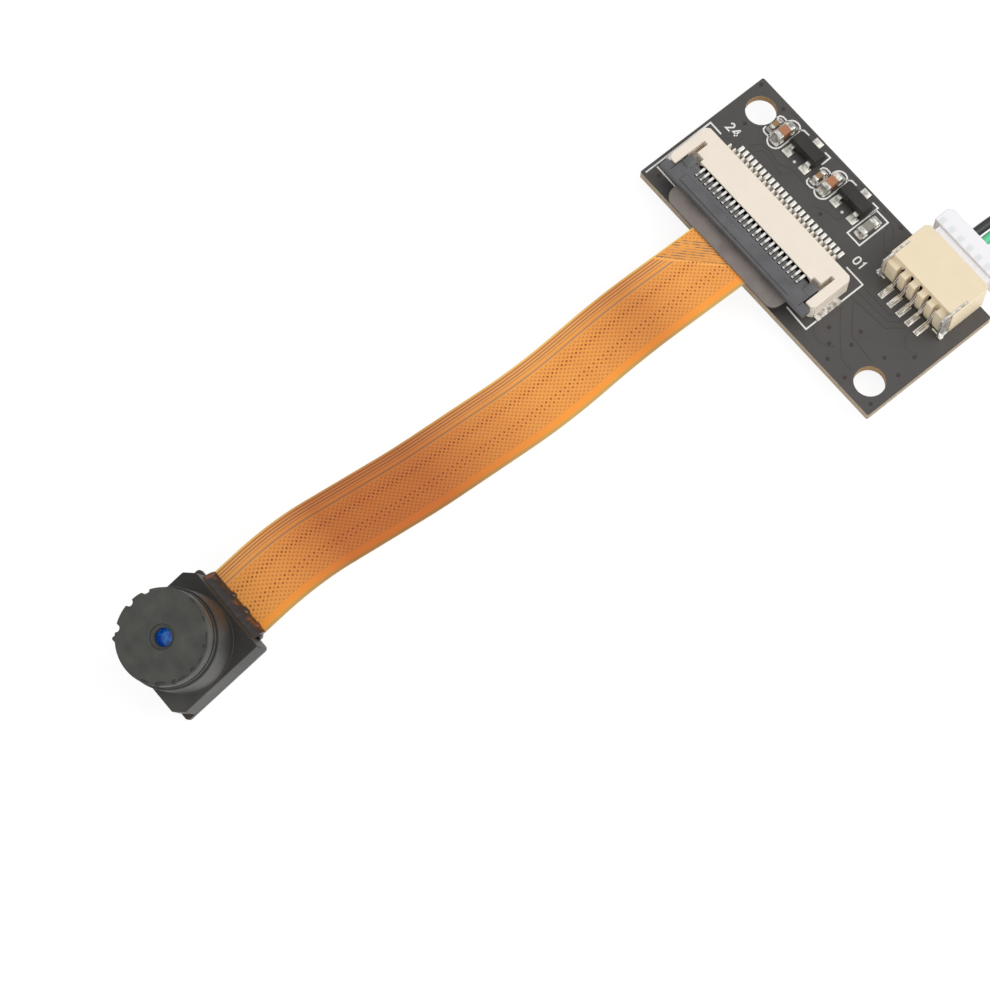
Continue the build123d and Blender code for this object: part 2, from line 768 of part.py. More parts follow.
# Cable socket: open toward +Y, with a ribbed back
socket_start = socket_middle - socket_width / 2
socket_end = socket_middle + socket_width / 2
with BuildPart() as socket:
    block(deck, (socket_start, socket_end), (socket_back, socket_front), (solder_gap, socket_height))
    with BuildSketch(section.offset(socket_start + rib_side_inset)):
        with BuildLine():
            Polyline((socket_back, solder_gap), (rib_back + rib_foot, solder_gap),
                     (rib_back, rib_top * rib_knee_share), (rib_back + rib_top_inset, rib_top),
                     (socket_back, rib_top), close=True)
        make_face()
    extrude(amount=socket_width - 2 * rib_side_inset)
    for x in socket_places:
        block(deck, (x - (socket_pitch - rib_width) / 2, x + (socket_pitch - rib_width) / 2),
              (rib_back, socket_back), (solder_gap, socket_height), mode=Mode.SUBTRACT)
        block(deck, (x - socket_pin_size / 2, x + socket_pin_size / 2),
              (socket_back, socket_back + socket_rear_wall),
              (solder_gap, socket_pin_level + socket_pin_size / 2), mode=Mode.SUBTRACT)
    block(deck, (socket_start + socket_wall, socket_end - socket_wall),
          (socket_back + socket_rear_wall, socket_front),
          (socket_wall, socket_height - socket_wall), mode=Mode.SUBTRACT)
    for x in (socket_start + socket_tab_inset, socket_end - socket_tab_inset):
        block(deck, (x - socket_tab_thickness / 2, x + socket_tab_thickness / 2),
              (socket_tab_back, socket_tab_front), (solder_gap, socket_height), mode=Mode.SUBTRACT)
    front_edges = socket.edges().filter_by(Axis.Z).group_by(Axis.Y)[-1]
    chamfer((front_edges.sort_by(Axis.X)[0], front_edges.sort_by(Axis.X)[-1]), socket_corner)
write(socket, "cable_socket_housing")

# Socket pins: blade in the cavity, bent down behind the housing to a solder tail
pin_outline = (
    (socket_pin_tip, socket_pin_level - socket_pin_size / 2),
    (socket_pin_tip, socket_pin_level + socket_pin_size / 2),
    (socket_back - socket_pin_bend, socket_pin_level + socket_pin_size / 2),
    (socket_tail_drop, socket_tail_height),
    (socket_tail_end, socket_tail_height),
    (socket_tail_end, pad_thickness),
    (socket_tail_drop + socket_pin_bend, pad_thickness),
    (socket_back + socket_pin_bend, socket_pin_level - socket_pin_size / 2),
)
with BuildPart() as socket_pin:
    with BuildSketch(section):
        with BuildLine():
            Polyline(*pin_outline, close=True)
        make_face()
    extrude(amount=socket_pin_size / 2, both=True)
with BuildPart() as socket_pin_row:
    with Locations(*[(x, 0, 0) for x in socket_places]):
        add(socket_pin.part)
write(socket_pin_row, "cable_socket_pins")

with BuildPart() as socket_tabs:
    for x, outward in ((socket_start + socket_tab_inset, -1), (socket_end - socket_tab_inset, 1)):
        block(deck, (x - socket_tab_thickness / 2, x + socket_tab_thickness / 2),
              (socket_tab_back, socket_tab_front), (pad_thickness, socket_tab_height))
        foot_x = sorted((x, x + outward * socket_tab_foot))
        block(deck, foot_x, (socket_tab_back, socket_tab_back + socket_tab_foot),
              (pad_thickness, pad_thickness + socket_tab_foot_thickness))
write(socket_tabs, "cable_socket_tabs")

# Cable plug: tongue in the socket, narrow neck and a wide flange at the back
tongue_start = socket_start + socket_wall + plug_clearance
tongue_end = socket_end - socket_wall - plug_clearance
tongue_bottom = socket_wall + plug_clearance
tongue_top = socket_height - socket_wall - plug_clearance
tongue_tip = socket_back + socket_rear_wall + plug_tip_gap
with BuildPart() as plug:
    block(deck, (tongue_start, tongue_end), (tongue_tip, plug_neck_end), (tongue_bottom, tongue_top))
    block(deck, (socket_start, socket_end), (plug_neck_end, plug_flange_end),
          (plug_flange_bottom, plug_flange_top))
    for x in socket_places:
        block(deck, (x - terminal_size / 2, x + terminal_size / 2), (tongue_tip, terminal_end),
              (socket_pin_level - terminal_size / 2, socket_pin_level + terminal_size / 2),
              mode=Mode.SUBTRACT)
    with BuildSketch(Plane(origin=deck.origin + Vector(0, terminal_end, 0), x_dir=(1, 0, 0), z_dir=(0, -1, 0))):
        with Locations(*[(x, socket_pin_level) for x in socket_places]):
            Circle(wire_diameter / 2 + wire_bore_clearance)
    extrude(amount=-(plug_flange_end - terminal_end), mode=Mode.SUBTRACT)
    flange_edges = plug.edges().filter_by(Axis.Z).group_by(Axis.Y)[-1]
    chamfer((flange_edges.sort_by(Axis.X)[0], flange_edges.sort_by(Axis.X)[-1]), plug_corner)
write(plug, "cable_plug_housing")

with BuildPart() as terminals:
    for x in wire_places.values():
        block(deck, (x - terminal_size / 2, x + terminal_size / 2), (terminal_start, terminal_end),
              (socket_pin_level - terminal_size / 2, socket_pin_level + terminal_size / 2))
        block(deck, (x - terminal_bore / 2, x + terminal_bore / 2), (terminal_start, socket_pin_tip + terminal_grip),
              (socket_pin_level - terminal_bore / 2, socket_pin_level + terminal_bore / 2),
              mode=Mode.SUBTRACT)
write(terminals, "cable_plug_terminals")

# Cable routes as points of straight runs
wire_level = board_thickness + socket_pin_level
wire_y = corner.Y + terminal_end
sleeve_radius = cable_diameter / 2 + sleeve_clearance + sleeve_wall
sleeve_level = rest_level + sleeve_radius
cable_level = rest_level + cable_diameter / 2
bundle = wire_diameter * bundle_spread


def corner_radii(points, share):
    """The largest radius that each corner's two runs allow, as a share of the shorter run."""
    radii = []
    for before, at, after in zip(points, points[1:], points[2:]):
        run_in = Vector(at) - Vector(before)
        run_out = Vector(after) - Vector(at)
        turn = radians(run_in.get_angle(run_out))
        radii.append(share * min(run_in.length, run_out.length) / tan(turn / 2))
    return radii


def tube(points, radii, diameter):
    """A round solid along straight runs joined by tangent arcs, for use inside a part block."""
    with BuildLine() as route:
        FilletPolyline(*points, radius=radii)
    path = route.wire()
    with BuildSketch(Plane(origin=path @ 0, z_dir=path % 0)) as disc:
        Circle(diameter / 2)
    sweep(disc.sketch, path=path)
    return path.length


for name, place in wire_places.items():
    start = Vector(corner.X + place, wire_y, wire_level)
    side, rise = bundle_sides[name]
    end = Vector(sleeve_x + side * bundle, jacket_start, sleeve_level + rise * bundle)
    before_end = end - Vector(0, bundle_length, 0)
    points = [start + Vector(*step) for step in wire_routes[name]] + [before_end, end]
    radii = corner_radii(points, cable_bend_share)
    with BuildPart() as wire:
        length = tube(points, radii, wire_diameter)
    write(wire, name)
    print(name, "length", round(length, 2), "radii", [round(r, 1) for r in radii],
          "volume ratio", round(wire.part.volume / (length * pi * wire_diameter ** 2 / 4), 4))

# Sleeve over the place where the wires enter the jacket
with BuildPart() as sleeve:
    with BuildSketch(Plane(origin=(sleeve_x, sleeve_start, sleeve_level), x_dir=(1, 0, 0), z_dir=(0, 1, 0))):
        Circle(sleeve_radius)
        Circle(sleeve_radius - sleeve_wall, mode=Mode.SUBTRACT)
    extrude(amount=sleeve_length)
write(sleeve, "cable_sleeve")

# Coil: two layers, turns side by side, as one long ring of the coil's outer shape
turns_per_layer = coil_turns / 2
coil_outer_line = coil_inner_radius + cable_diameter * turns_per_layer
coil_middle_x = sleeve_x - coil_outer_line
ring_outer = coil_outer_line + cable_diameter / 2
ring_inner = coil_inner_radius - cable_diameter / 2
coil_middle_y = coil_start_y + coil_straight / 2
coil_height = 2 * cable_diameter

# Tie round the coil's straight bundle on the sleeve's side
bundle_width = ring_outer - ring_inner
bundle_middle = (coil_middle_x + (ring_inner + ring_outer) / 2, coil_middle_y, rest_level + coil_height / 2)
tie_side = Plane(origin=bundle_middle, x_dir=(1, 0, 0), z_dir=(0, 1, 0))
with BuildPart() as tie:
    with BuildSketch(tie_side):
        with Locations((0, -tie_thickness / 2)):
            RectangleRounded(bundle_width + 2 * tie_thickness, coil_height + tie_thickness,
                             tie_thickness + tie_corner)
            RectangleRounded(bundle_width, coil_height - tie_thickness, tie_corner, mode=Mode.SUBTRACT)
    extrude(amount=tie_width / 2, both=True)
write(tie, "cable_tie")

with BuildPart() as coil:
    with BuildSketch(Plane.XY.offset(rest_level)):
        with Locations((coil_middle_x, coil_middle_y)):
            SlotCenterToCenter(coil_straight, 2 * ring_outer, rotation=90)
            SlotCenterToCenter(coil_straight, 2 * ring_inner, rotation=90, mode=Mode.SUBTRACT)
    extrude(amount=coil_height)
    add(tie.part, mode=Mode.SUBTRACT)
write(coil, "cable_coil")

# Cable from the sleeve to the coil
lead_points = (
    (sleeve_x, jacket_start, sleeve_level),
    (sleeve_x, lead_straight_end, sleeve_level),
    (sleeve_x + lead_bow[0], lead_bow[1], cable_level),
    (sleeve_x, coil_start_y - lead_end_gap, cable_level),
)
lead_radii = corner_radii(lead_points, cable_bend_share)
with BuildPart() as cable_lead:
    lead_length = tube(lead_points, lead_radii, cable_diameter)
    add(coil.part, mode=Mode.SUBTRACT)
write(cable_lead, "cable_lead")
print("cable_lead length", round(lead_length, 2), "radii", [round(r, 1) for r in lead_radii])

# Host plug: shell, overmould with a round relief, insulator and four contacts; it points toward -Y
host_x = coil_middle_x - coil_outer_line
host_level = rest_level + overmould_height / 2
mould_start = host_tip_y + shell_exposed
mould_end = mould_start + overmould_length
relief_end = mould_end + relief_length
host_front = Plane(origin=(host_x, host_tip_y, host_level), x_dir=(1, 0, 0), z_dir=(0, 1, 0))
with BuildPart() as host_shell:
    with BuildSketch(host_front):
        RectangleRounded(shell_width, shell_height, shell_corner)
        RectangleRounded(shell_width - 2 * shell_wall, shell_height - 2 * shell_wall, shell_corner - shell_wall,
                         mode=Mode.SUBTRACT)
    extrude(amount=shell_exposed + shell_buried)
    with BuildSketch(Plane(origin=(host_x, host_tip_y + shell_window_place, host_level))):
        with GridLocations(shell_window_pitch, 0, 2, 1):
            Rectangle(*shell_window)
    extrude(amount=shell_height, both=True, mode=Mode.SUBTRACT)
write(host_shell, "host_plug_shell")

with BuildPart() as overmould:
    with BuildSketch(host_front.offset(shell_exposed)):
        RectangleRounded(overmould_width, overmould_height, overmould_corner)
    extrude(amount=overmould_length)
    fillet(overmould.faces().sort_by(Axis.Y)[-1].edges(), overmould_round)
    with BuildSketch(host_front.offset(shell_exposed + overmould_length)):
        Circle(relief_diameter / 2)
    extrude(amount=relief_length)
    with BuildSketch(host_front.offset(shell_exposed)):
        RectangleRounded(shell_width, shell_height, shell_corner)
    extrude(amount=shell_buried, mode=Mode.SUBTRACT)
write(overmould, "host_plug_overmould")

insulator_bottom = -shell_height / 2 + shell_wall + insulator_gap
with BuildPart() as insulator:
    with BuildSketch(host_front.offset(insulator_inset)):
        with Locations((0, insulator_bottom + insulator_thickness / 2)):
            RectangleRounded(shell_width - 2 * shell_wall - 2 * insulator_gap, insulator_thickness, shell_wall)
    extrude(amount=shell_exposed + shell_buried - insulator_inset)
write(insulator, "host_plug_insulator")

with BuildPart() as host_contacts:
    with BuildSketch(host_front.offset(host_contact_inset)):
        with Locations((0, insulator_bottom + insulator_thickness + host_contact_thickness / 2)):
            with GridLocations(host_contact_pitch, 0, host_contact_count, 1):
                Rectangle(host_contact_width, host_contact_thickness)
    extrude(amount=host_contact_length)
write(host_contacts, "host_plug_contacts")

# Cable from the coil's upper layer down to the host plug
tail_points = (
    (host_x, coil_start_y - tail_overlap, cable_level + cable_diameter),
    (host_x, coil_start_y - tail_overlap - tail_level_run, cable_level + cable_diameter - tail_drop),
    (host_x, relief_end, host_level),
)
tail_radii = corner_radii(tail_points, cable_bend_share)
with BuildPart() as cable_tail:
    tail_length = tube(tail_points, tail_radii, cable_diameter)
    add(coil.part, mode=Mode.SUBTRACT)
    add(overmould.part, mode=Mode.SUBTRACT)
write(cable_tail, "cable_tail")
print("cable_tail length", round(tail_length, 2), "radii", [round(r, 1) for r in tail_radii])

# Parts soldered under the board
with BuildPart() as controller:
    with BuildSketch(belly.offset(-pad_thickness)):
        with Locations(controller_place):
            Rectangle(controller_size, controller_size)
    extrude(amount=-controller_height)
write(controller, "controller_chip")

with BuildPart() as crystal_base:
    with BuildSketch(belly.offset(-pad_thickness)):
        with Locations(crystal_place):
            Rectangle(*crystal_size)
    extrude(amount=-crystal_base_height)
write(crystal_base, "crystal_base")

with BuildPart() as crystal_can:
    with BuildSketch(belly.offset(-pad_thickness - crystal_base_height)):
        with Locations(crystal_place):
            RectangleRounded(crystal_size[0] - 2 * crystal_can_margin, crystal_size[1] - 2 * crystal_can_margin,
                             crystal_can_corner)
    extrude(amount=-(crystal_height - crystal_base_height))
write(crystal_can, "crystal_can")

with BuildPart() as memory:
    with BuildSketch(belly.offset(-pad_thickness)):
        with Locations(memory_place):
            Rectangle(*memory_size)
    extrude(amount=-memory_height)
write(memory, "memory_chip")

# Solder pads under the tails, tabs, leads and chips on top of the board
with BuildPart() as pads:
    with BuildSketch(deck):
        with Locations(*[(x, (connector_back + tail_end) / 2 + pad_margin) for x in contact_places]):
            Rectangle(contact_thickness + pad_margin, tail_end - connector_back)
        with Locations(*[(x, (socket_tail_end + socket_tail_drop) / 2) for x in socket_places]):
            Rectangle(socket_pin_size + 2 * pad_margin, socket_tail_drop - socket_tail_end + 2 * pad_margin)
        for x, y in regulator_places:
            with Locations((x, y + regulator_width / 2 + lead_reach - lead_foot / 2),
                           (x - lead_spread, y - regulator_width / 2 - lead_reach + lead_foot / 2),
                           (x + lead_spread, y - regulator_width / 2 - lead_reach + lead_foot / 2)):
                Rectangle(lead_width + 2 * pad_margin, lead_foot + 2 * pad_margin)
        for places, size in ((small_chip_places, small_chip), (large_chip_places, large_chip),
                             (resistor_places, resistor_chip)):
            with Locations(*places):
                with GridLocations(0, size[0] * (1 - end_cap_share) + pad_margin, 1, 2):
                    Rectangle(size[1] + pad_margin, size[0] * end_cap_share + pad_margin)
    extrude(amount=pad_thickness)
write(pads, "solder_pads")
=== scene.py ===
# %% [markdown]
# A small camera module, seen from above: a camera head on an orange flexible circuit, a narrow dark
# controller board with a flip-lock connector, and a cable that leaves the board. The solids come from the
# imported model, at their true places, so this script only dresses them: it gives each a finish, rounds the
# edges that the light catches, and adds what solids are too coarse for, such as printed lines, solder and
# blobs of glue.
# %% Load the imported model
from math import cos, pi, radians, sin

import bmesh
import bpy
from mathutils import Matrix, Vector


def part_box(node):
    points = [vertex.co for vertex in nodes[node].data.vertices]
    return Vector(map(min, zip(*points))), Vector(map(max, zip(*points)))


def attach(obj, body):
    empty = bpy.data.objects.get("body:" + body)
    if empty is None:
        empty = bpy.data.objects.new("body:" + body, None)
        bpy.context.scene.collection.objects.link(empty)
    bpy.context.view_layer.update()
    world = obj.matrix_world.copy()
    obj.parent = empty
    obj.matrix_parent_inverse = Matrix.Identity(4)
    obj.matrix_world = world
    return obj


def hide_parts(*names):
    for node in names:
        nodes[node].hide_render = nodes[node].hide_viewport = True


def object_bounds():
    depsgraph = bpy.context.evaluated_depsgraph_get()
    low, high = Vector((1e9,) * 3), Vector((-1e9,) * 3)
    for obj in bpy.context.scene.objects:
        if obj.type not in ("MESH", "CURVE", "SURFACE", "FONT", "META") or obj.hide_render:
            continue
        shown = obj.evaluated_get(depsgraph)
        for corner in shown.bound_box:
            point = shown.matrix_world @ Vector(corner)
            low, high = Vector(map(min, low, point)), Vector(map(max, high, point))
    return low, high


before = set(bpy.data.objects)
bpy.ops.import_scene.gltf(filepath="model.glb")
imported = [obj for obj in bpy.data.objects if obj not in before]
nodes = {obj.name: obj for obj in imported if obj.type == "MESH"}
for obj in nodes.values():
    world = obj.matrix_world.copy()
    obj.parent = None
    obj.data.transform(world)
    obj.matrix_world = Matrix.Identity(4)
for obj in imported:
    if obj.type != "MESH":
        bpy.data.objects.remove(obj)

cad_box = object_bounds()
MM = 0.001
BOARD_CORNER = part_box("circuit_board")[0]
BOARD_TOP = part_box("circuit_board")[1].z
REST_LEVEL = cad_box[0].z

# %% [markdown]
# The picture was taken from steeply above one corner and with a long lens, so lines that are parallel on the
# board stay nearly parallel in the picture. A camera can be placed by eye, but here its place was worked out
# from the board's four corners, whose real distances are known. Azimuth, elevation and roll describe the same
# camera in three plain angles.
# %% Camera
IMAGE_WIDTH = 990
FOCAL_PIXELS = 5000
CAMERA_PLACE = Vector((93.56, -133.55, 347.83)) * MM
azimuth, elevation, roll = radians(42.706), radians(68.341), radians(7.295)
back = Vector((sin(azimuth) * cos(elevation), -cos(azimuth) * cos(elevation), sin(elevation)))
level_right = Vector((cos(azimuth), sin(azimuth), 0))
level_up = back.cross(level_right)
right = cos(roll) * level_right + sin(roll) * level_up
up = back.cross(right)

camera_data = bpy.data.cameras.new("camera")
camera_data.lens = FOCAL_PIXELS / IMAGE_WIDTH * camera_data.sensor_width
camera_data.clip_start, camera_data.clip_end = 0.01, 5
camera = bpy.data.objects.new("camera", camera_data)
bpy.context.scene.collection.objects.link(camera)
camera.matrix_world = Matrix.Translation(CAMERA_PLACE) @ Matrix((right, up, back)).transposed().to_4x4()
bpy.context.scene.camera = camera
print("lens", round(camera_data.lens, 1), "mm")

# %% [markdown]
# Four thin wires leave the plug side by side and gather under a sleeve, where they enter the jacket of one
# cable. A wire could be a mesh tube, but a curve with a round bevel keeps its route editable: each wire is
# one smooth spline that follows the points of its route, and Blender sweeps the round section along it.
# %% Wires of the plug
WIRE_DIAMETER = 0.8
WIRE_START = Vector((7.4, 8.25, 2.2))
WIRE_PITCH = 1.0
SLEEVE_X = 11.0
JACKET_START = 43.0
SLEEVE_LEVEL = 0.92
BUNDLE = 0.424
BUNDLE_RUN = 6.0
wire_steps = {
    "black": ((0, 0, 0), (0.15, 5.4, 0.15), (1.2, 13.5, -0.1), (2.7, 22, -0.75)),
    "green": ((0, 0, 0), (-0.1, 5.6, -0.35), (0.6, 14, -1.2), (1.9, 22.4, -1.65)),
    "white": ((0, 0, 0), (0.25, 5.2, 0.1), (1.3, 13.8, -0.15), (1.9, 22.2, -0.75)),
    "red": ((0, 0, 0), (0.1, 5, -0.3), (0.5, 13.9, -1.25), (0.95, 22.3, -1.6)),
}
wire_sides = {"black": (-1, 1), "green": (-1, -1), "white": (1, 1), "red": (1, -1)}


def lay_cord(name, points, diameter):
    """A round cord along control points in millimetres, as one smooth open spline.

    Each point carries the cord's radius and the bevel is one unit deep, so the curve's box is the cord's own.
    """
    curve = bpy.data.curves.new(name, "CURVE")
    curve.dimensions = "3D"
    curve.bevel_depth = 1
    curve.bevel_resolution = 5
    curve.use_fill_caps = True
    spline = curve.splines.new("NURBS")
    spline.points.add(len(points) - 1)
    for spot, place in zip(spline.points, points):
        spot.co = (*[value * MM for value in place], 1)
        spot.radius = diameter / 2 * MM
    spline.order_u = 3
    spline.use_endpoint_u = True
    spline.resolution_u = 12
    cord = bpy.data.objects.new(name, curve)
    bpy.context.scene.collection.objects.link(cord)
    return cord


wires = {}
for index, (colour, steps) in enumerate(wire_steps.items()):
    start = WIRE_START + Vector((index * WIRE_PITCH, 0, 0))
    side, rise = wire_sides[colour]
    end = Vector((SLEEVE_X + side * BUNDLE, JACKET_START, SLEEVE_LEVEL + rise * BUNDLE))
    route = [start + Vector(step) for step in steps] + [end - Vector((0, BUNDLE_RUN, 0)), end]
    wire = lay_cord(f"wire_of_{colour}", route, WIRE_DIAMETER)
    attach(wire, "module")
    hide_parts(f"wire_{colour}")
    wires[colour] = wire
print("wires", list(wires))

# %% [markdown]
# Behind the sleeve the wires are one round cable. Its length is put away in a long coil of two layers, held
# by a tie, and it ends in a flat host plug. A real coil is one unbroken length, so one spline holds the lead,
# all the turns and the tail. A loop lays the turns: each half turn is a straight side and half a circle round
# one of two ends, and the radius shrinks by one cable diameter per turn in the lower layer and grows again in
# the upper one.
# %% Cable with its coil
CABLE_DIAMETER = 3.0
CABLE_LEVEL = 0.6
COIL_MIDDLE_X = -1.75
COIL_ENDS = (76.0, 98.0)
COIL_OUTER = 12.75
HALF_TURNS = 5
SIDE_POINTS = 3
ARC_POINTS = 5
CLIMB = 0.4
lead = [(11, 43, 0.92), (11, 51, 0.92), (11.35, 60.5, 0.6), (11, 69.5, 0.6)]
tail = [(-14.5, 73, 3.6), (-14.5, 69.5, 3.5), (-14.5, 65.2, 3.0)]
arc_step = pi / ARC_POINTS
outside_curve = 1 / cos(arc_step / 2)
coil = []


def coil_radius(half_turns):
    """The radius of the cable's line after some half turns of both layers."""
    return COIL_OUTER - CABLE_DIAMETER * min(half_turns, HALF_TURNS - half_turns) / 2


def coil_level(half_turns):
    """The height of the line, which climbs to the upper layer where the innermost turn ends."""
    layer = min(max((half_turns - HALF_TURNS / 2) / CLIMB, 0), 1)
    return CABLE_LEVEL + CABLE_DIAMETER * layer


for half in range(HALF_TURNS + 1):
    heading = 1 if half % 2 == 0 else -1
    side_start, side_end = COIL_ENDS[::heading]
    for step in range(SIDE_POINTS):
        share = (step + 0.5) / SIDE_POINTS
        coil.append((COIL_MIDDLE_X + heading * coil_radius(half),
                     side_start + share * (side_end - side_start), coil_level(half)))
    for step in range(ARC_POINTS if half < HALF_TURNS else 0):
        turned = (step + 0.5) / ARC_POINTS
        angle = pi * turned
        radius = coil_radius(half + turned) * outside_curve
        coil.append((COIL_MIDDLE_X + heading * radius * cos(angle), side_end + heading * radius * sin(angle),
                     coil_level(half + turned)))
cable = lay_cord("jacketed_cable", lead + coil + tail, CABLE_DIAMETER)
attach(cable, "module")
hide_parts("cable_lead", "cable_coil", "cable_tail")
print("cable points", len(lead + coil + tail))

# %% [markdown]
# Every finish below is a small network of nodes. Written node by node it would be long and hard to read, so
# one class wraps a node's output and lets patterns be written as formulas: adding two wrapped values adds a
# Math node.
# %% A value that varies over a surface
class Value:
    """A number that varies over a surface, which formulas can use as they use plain numbers."""

    def __init__(self, finish, socket):
        self.finish, self.socket = finish, socket

    def maths(self, operation, *others):
        """This value, then the others, through one Math node."""
        values = dict(enumerate((self, *others)))
        node = self.finish.node("ShaderNodeMath", {"operation": operation}, values)
        return Value(self.finish, node.outputs[0])

    def reflected(self, operation, first):
        """A plain number, then this value, through one Math node, as in 1 - value."""
        node = self.finish.node("ShaderNodeMath", {"operation": operation}, {0: first, 1: self})
        return Value(self.finish, node.outputs[0])

    def __add__(self, other):
        return self.maths("ADD", other)

    def __radd__(self, other):
        return self.reflected("ADD", other)

    def __sub__(self, other):
        return self.maths("SUBTRACT", other)

    def __rsub__(self, other):
        return self.reflected("SUBTRACT", other)

    def __mul__(self, other):
        return self.maths("MULTIPLY", other)

    def __rmul__(self, other):
        return self.reflected("MULTIPLY", other)

    def __gt__(self, other):
        return self.maths("GREATER_THAN", other)

    def __lt__(self, other):
        return self.maths("LESS_THAN", other)

    def __abs__(self):
        return self.maths("ABSOLUTE")

    def at_least(self, other):
        return self.maths("MAXIMUM", other)

    def wrapped(self, period):
        """The distance from the nearest multiple of a period, for lines and dots that repeat."""
        return abs(self.maths("WRAP", period / 2, -period / 2))

    def between(self, low, high):
        """One between two values, and zero outside them."""
        return (self > low) * (self < high)

    def fade(self, low, high):
        """Zero below one value, one above another and even in between."""
        node = self.finish.node("ShaderNodeMapRange", {}, {0: self, 1: low, 2: high})
        return Value(self.finish, node.outputs[0])


# %% [markdown]
# A second class holds one material. A pattern needs to know where on the object a point is, so each finish
# offers that place in millimetres. One method adds any node, and short ones stand for the few that most
# finishes use. The Mix node has sockets for numbers, vectors and colours, so its colour sockets are picked by
# their position.
# %% A finish
MIX_FIRST, MIX_SECOND, MIX_RESULT = 6, 7, 2


class Finish:
    """One material, with the plain numbers of its shader set by socket name."""

    def __init__(self, name, colour, roughness, **sockets):
        self.material = bpy.data.materials.new(name)
        self.material.use_nodes = True
        self.tree = self.material.node_tree
        self.shader = self.tree.nodes["Principled BSDF"]
        self.set("Base Color", (*colour, 1))
        self.set("Roughness", roughness)
        for socket, value in sockets.items():
            self.set(socket.replace("_", " "), value)
        metres = self.node("ShaderNodeTexCoord").outputs["Object"]
        scaled = self.node("ShaderNodeVectorMath", {"operation": "SCALE"}, {0: metres, "Scale": 1 / MM})
        self.place = scaled.outputs[0]
        separate = self.node("ShaderNodeSeparateXYZ", {}, {0: self.place})
        self.x, self.y, self.z = (Value(self, part) for part in separate.outputs)

    def feed(self, socket, value):
        """Links a socket to a wrapped value or to another socket, or gives it a plain number or colour."""
        if isinstance(value, Value):
            self.tree.links.new(value.socket, socket)
        elif isinstance(value, bpy.types.NodeSocket):
            self.tree.links.new(value, socket)
        else:
            socket.default_value = value

    def set(self, socket, value):
        """Feeds one input of the material's main shader."""
        self.feed(self.shader.inputs[socket], value)

    def node(self, kind, settings=None, inputs=None):
        """Any node: its settings first, then the values or links of its sockets."""
        made = self.tree.nodes.new(kind)
        for key, value in (settings or {}).items():
            setattr(made, key, value)
        for key, value in (inputs or {}).items():
            self.feed(made.inputs[key], value)
        return made

    def mix(self, share, first, second):
        """One colour where the share is 0 and another where it is 1."""
        node = self.node("ShaderNodeMix", {"data_type": "RGBA"},
                         {0: share, MIX_FIRST: first, MIX_SECOND: second})
        return node.outputs[MIX_RESULT]

    def tint(self, colour, by):
        """One colour multiplied by another."""
        node = self.node("ShaderNodeMix", {"data_type": "RGBA", "blend_type": "MULTIPLY"},
                         {0: 1.0, MIX_FIRST: colour, MIX_SECOND: by})
        return node.outputs[MIX_RESULT]

    def noise(self, size, detail=3.0):
        """Cloudy values from 0 to 1, with patches of about a size in millimetres."""
        node = self.node("ShaderNodeTexNoise", {},
                         {"Vector": self.place, "Scale": 1 / size, "Detail": detail})
        return Value(self, node.outputs["Fac"])

    def relief(self, height, depth):
        """Raises the surface by a height of 0 to 1 times a depth in millimetres."""
        node = self.node("ShaderNodeBump", {}, {"Height": height, "Distance": depth * MM, "Strength": 1.0})
        self.set("Normal", node.outputs[0])


# %% [markdown]
# Plastic and metal differ less in colour than in how even they are. So two functions make most finishes:
# moulded plastic gets faint clouds and a fine grain, and metal gets patches that are both darker and duller.
# Colours are named by their screen values, as a designer would pick them.
# %% Finishes for plastic and metal
TARNISHED = 0.7


def as_seen(red, green, blue):
    """A colour named by its screen values, turned into the light that a shader works with."""
    return tuple(((value / 255 + 0.055) / 1.055) ** 2.4 for value in (red, green, blue))


def opaque(colour, share=1.0):
    """A colour, or a share of it, with the fourth number that a colour socket needs."""
    return (*[value * share for value in colour], 1)


def paint(red, green, blue):
    """A colour named by its screen values, for a colour socket."""
    return opaque(as_seen(red, green, blue))


def moulded(name, screen_colour, roughness, speckle=0.06, grain=0.12, depth=0.006):
    """Moulded plastic: an even colour with faint clouds, and the fine grain of its tool."""
    colour = as_seen(*screen_colour)
    made = Finish(name, colour, roughness)
    dark, light = opaque(colour, 1 - speckle), opaque(colour, 1 + speckle)
    made.set("Base Color", made.mix(made.noise(1.3, 4), dark, light))
    made.set("Roughness", roughness - 0.08 + 0.16 * made.noise(0.4))
    made.relief(made.noise(grain, 2), depth)
    return made


def metal(name, screen_colour, roughness, patch_size, depth=0.004, darkest=0.75):
    """Plated or soldered metal with darker, duller patches; a thin dull skin keeps it from being a mirror."""
    colour = as_seen(*screen_colour)
    made = Finish(name, colour, roughness, Metallic=TARNISHED)
    patch = made.noise(patch_size, 4)
    made.set("Base Color", made.mix(patch.fade(0.38, 0.62), opaque(colour, darkest), opaque(colour)))
    made.set("Roughness", roughness + 0.1 - 0.2 * patch)
    made.relief(made.noise(patch_size / 2), depth)
    return made


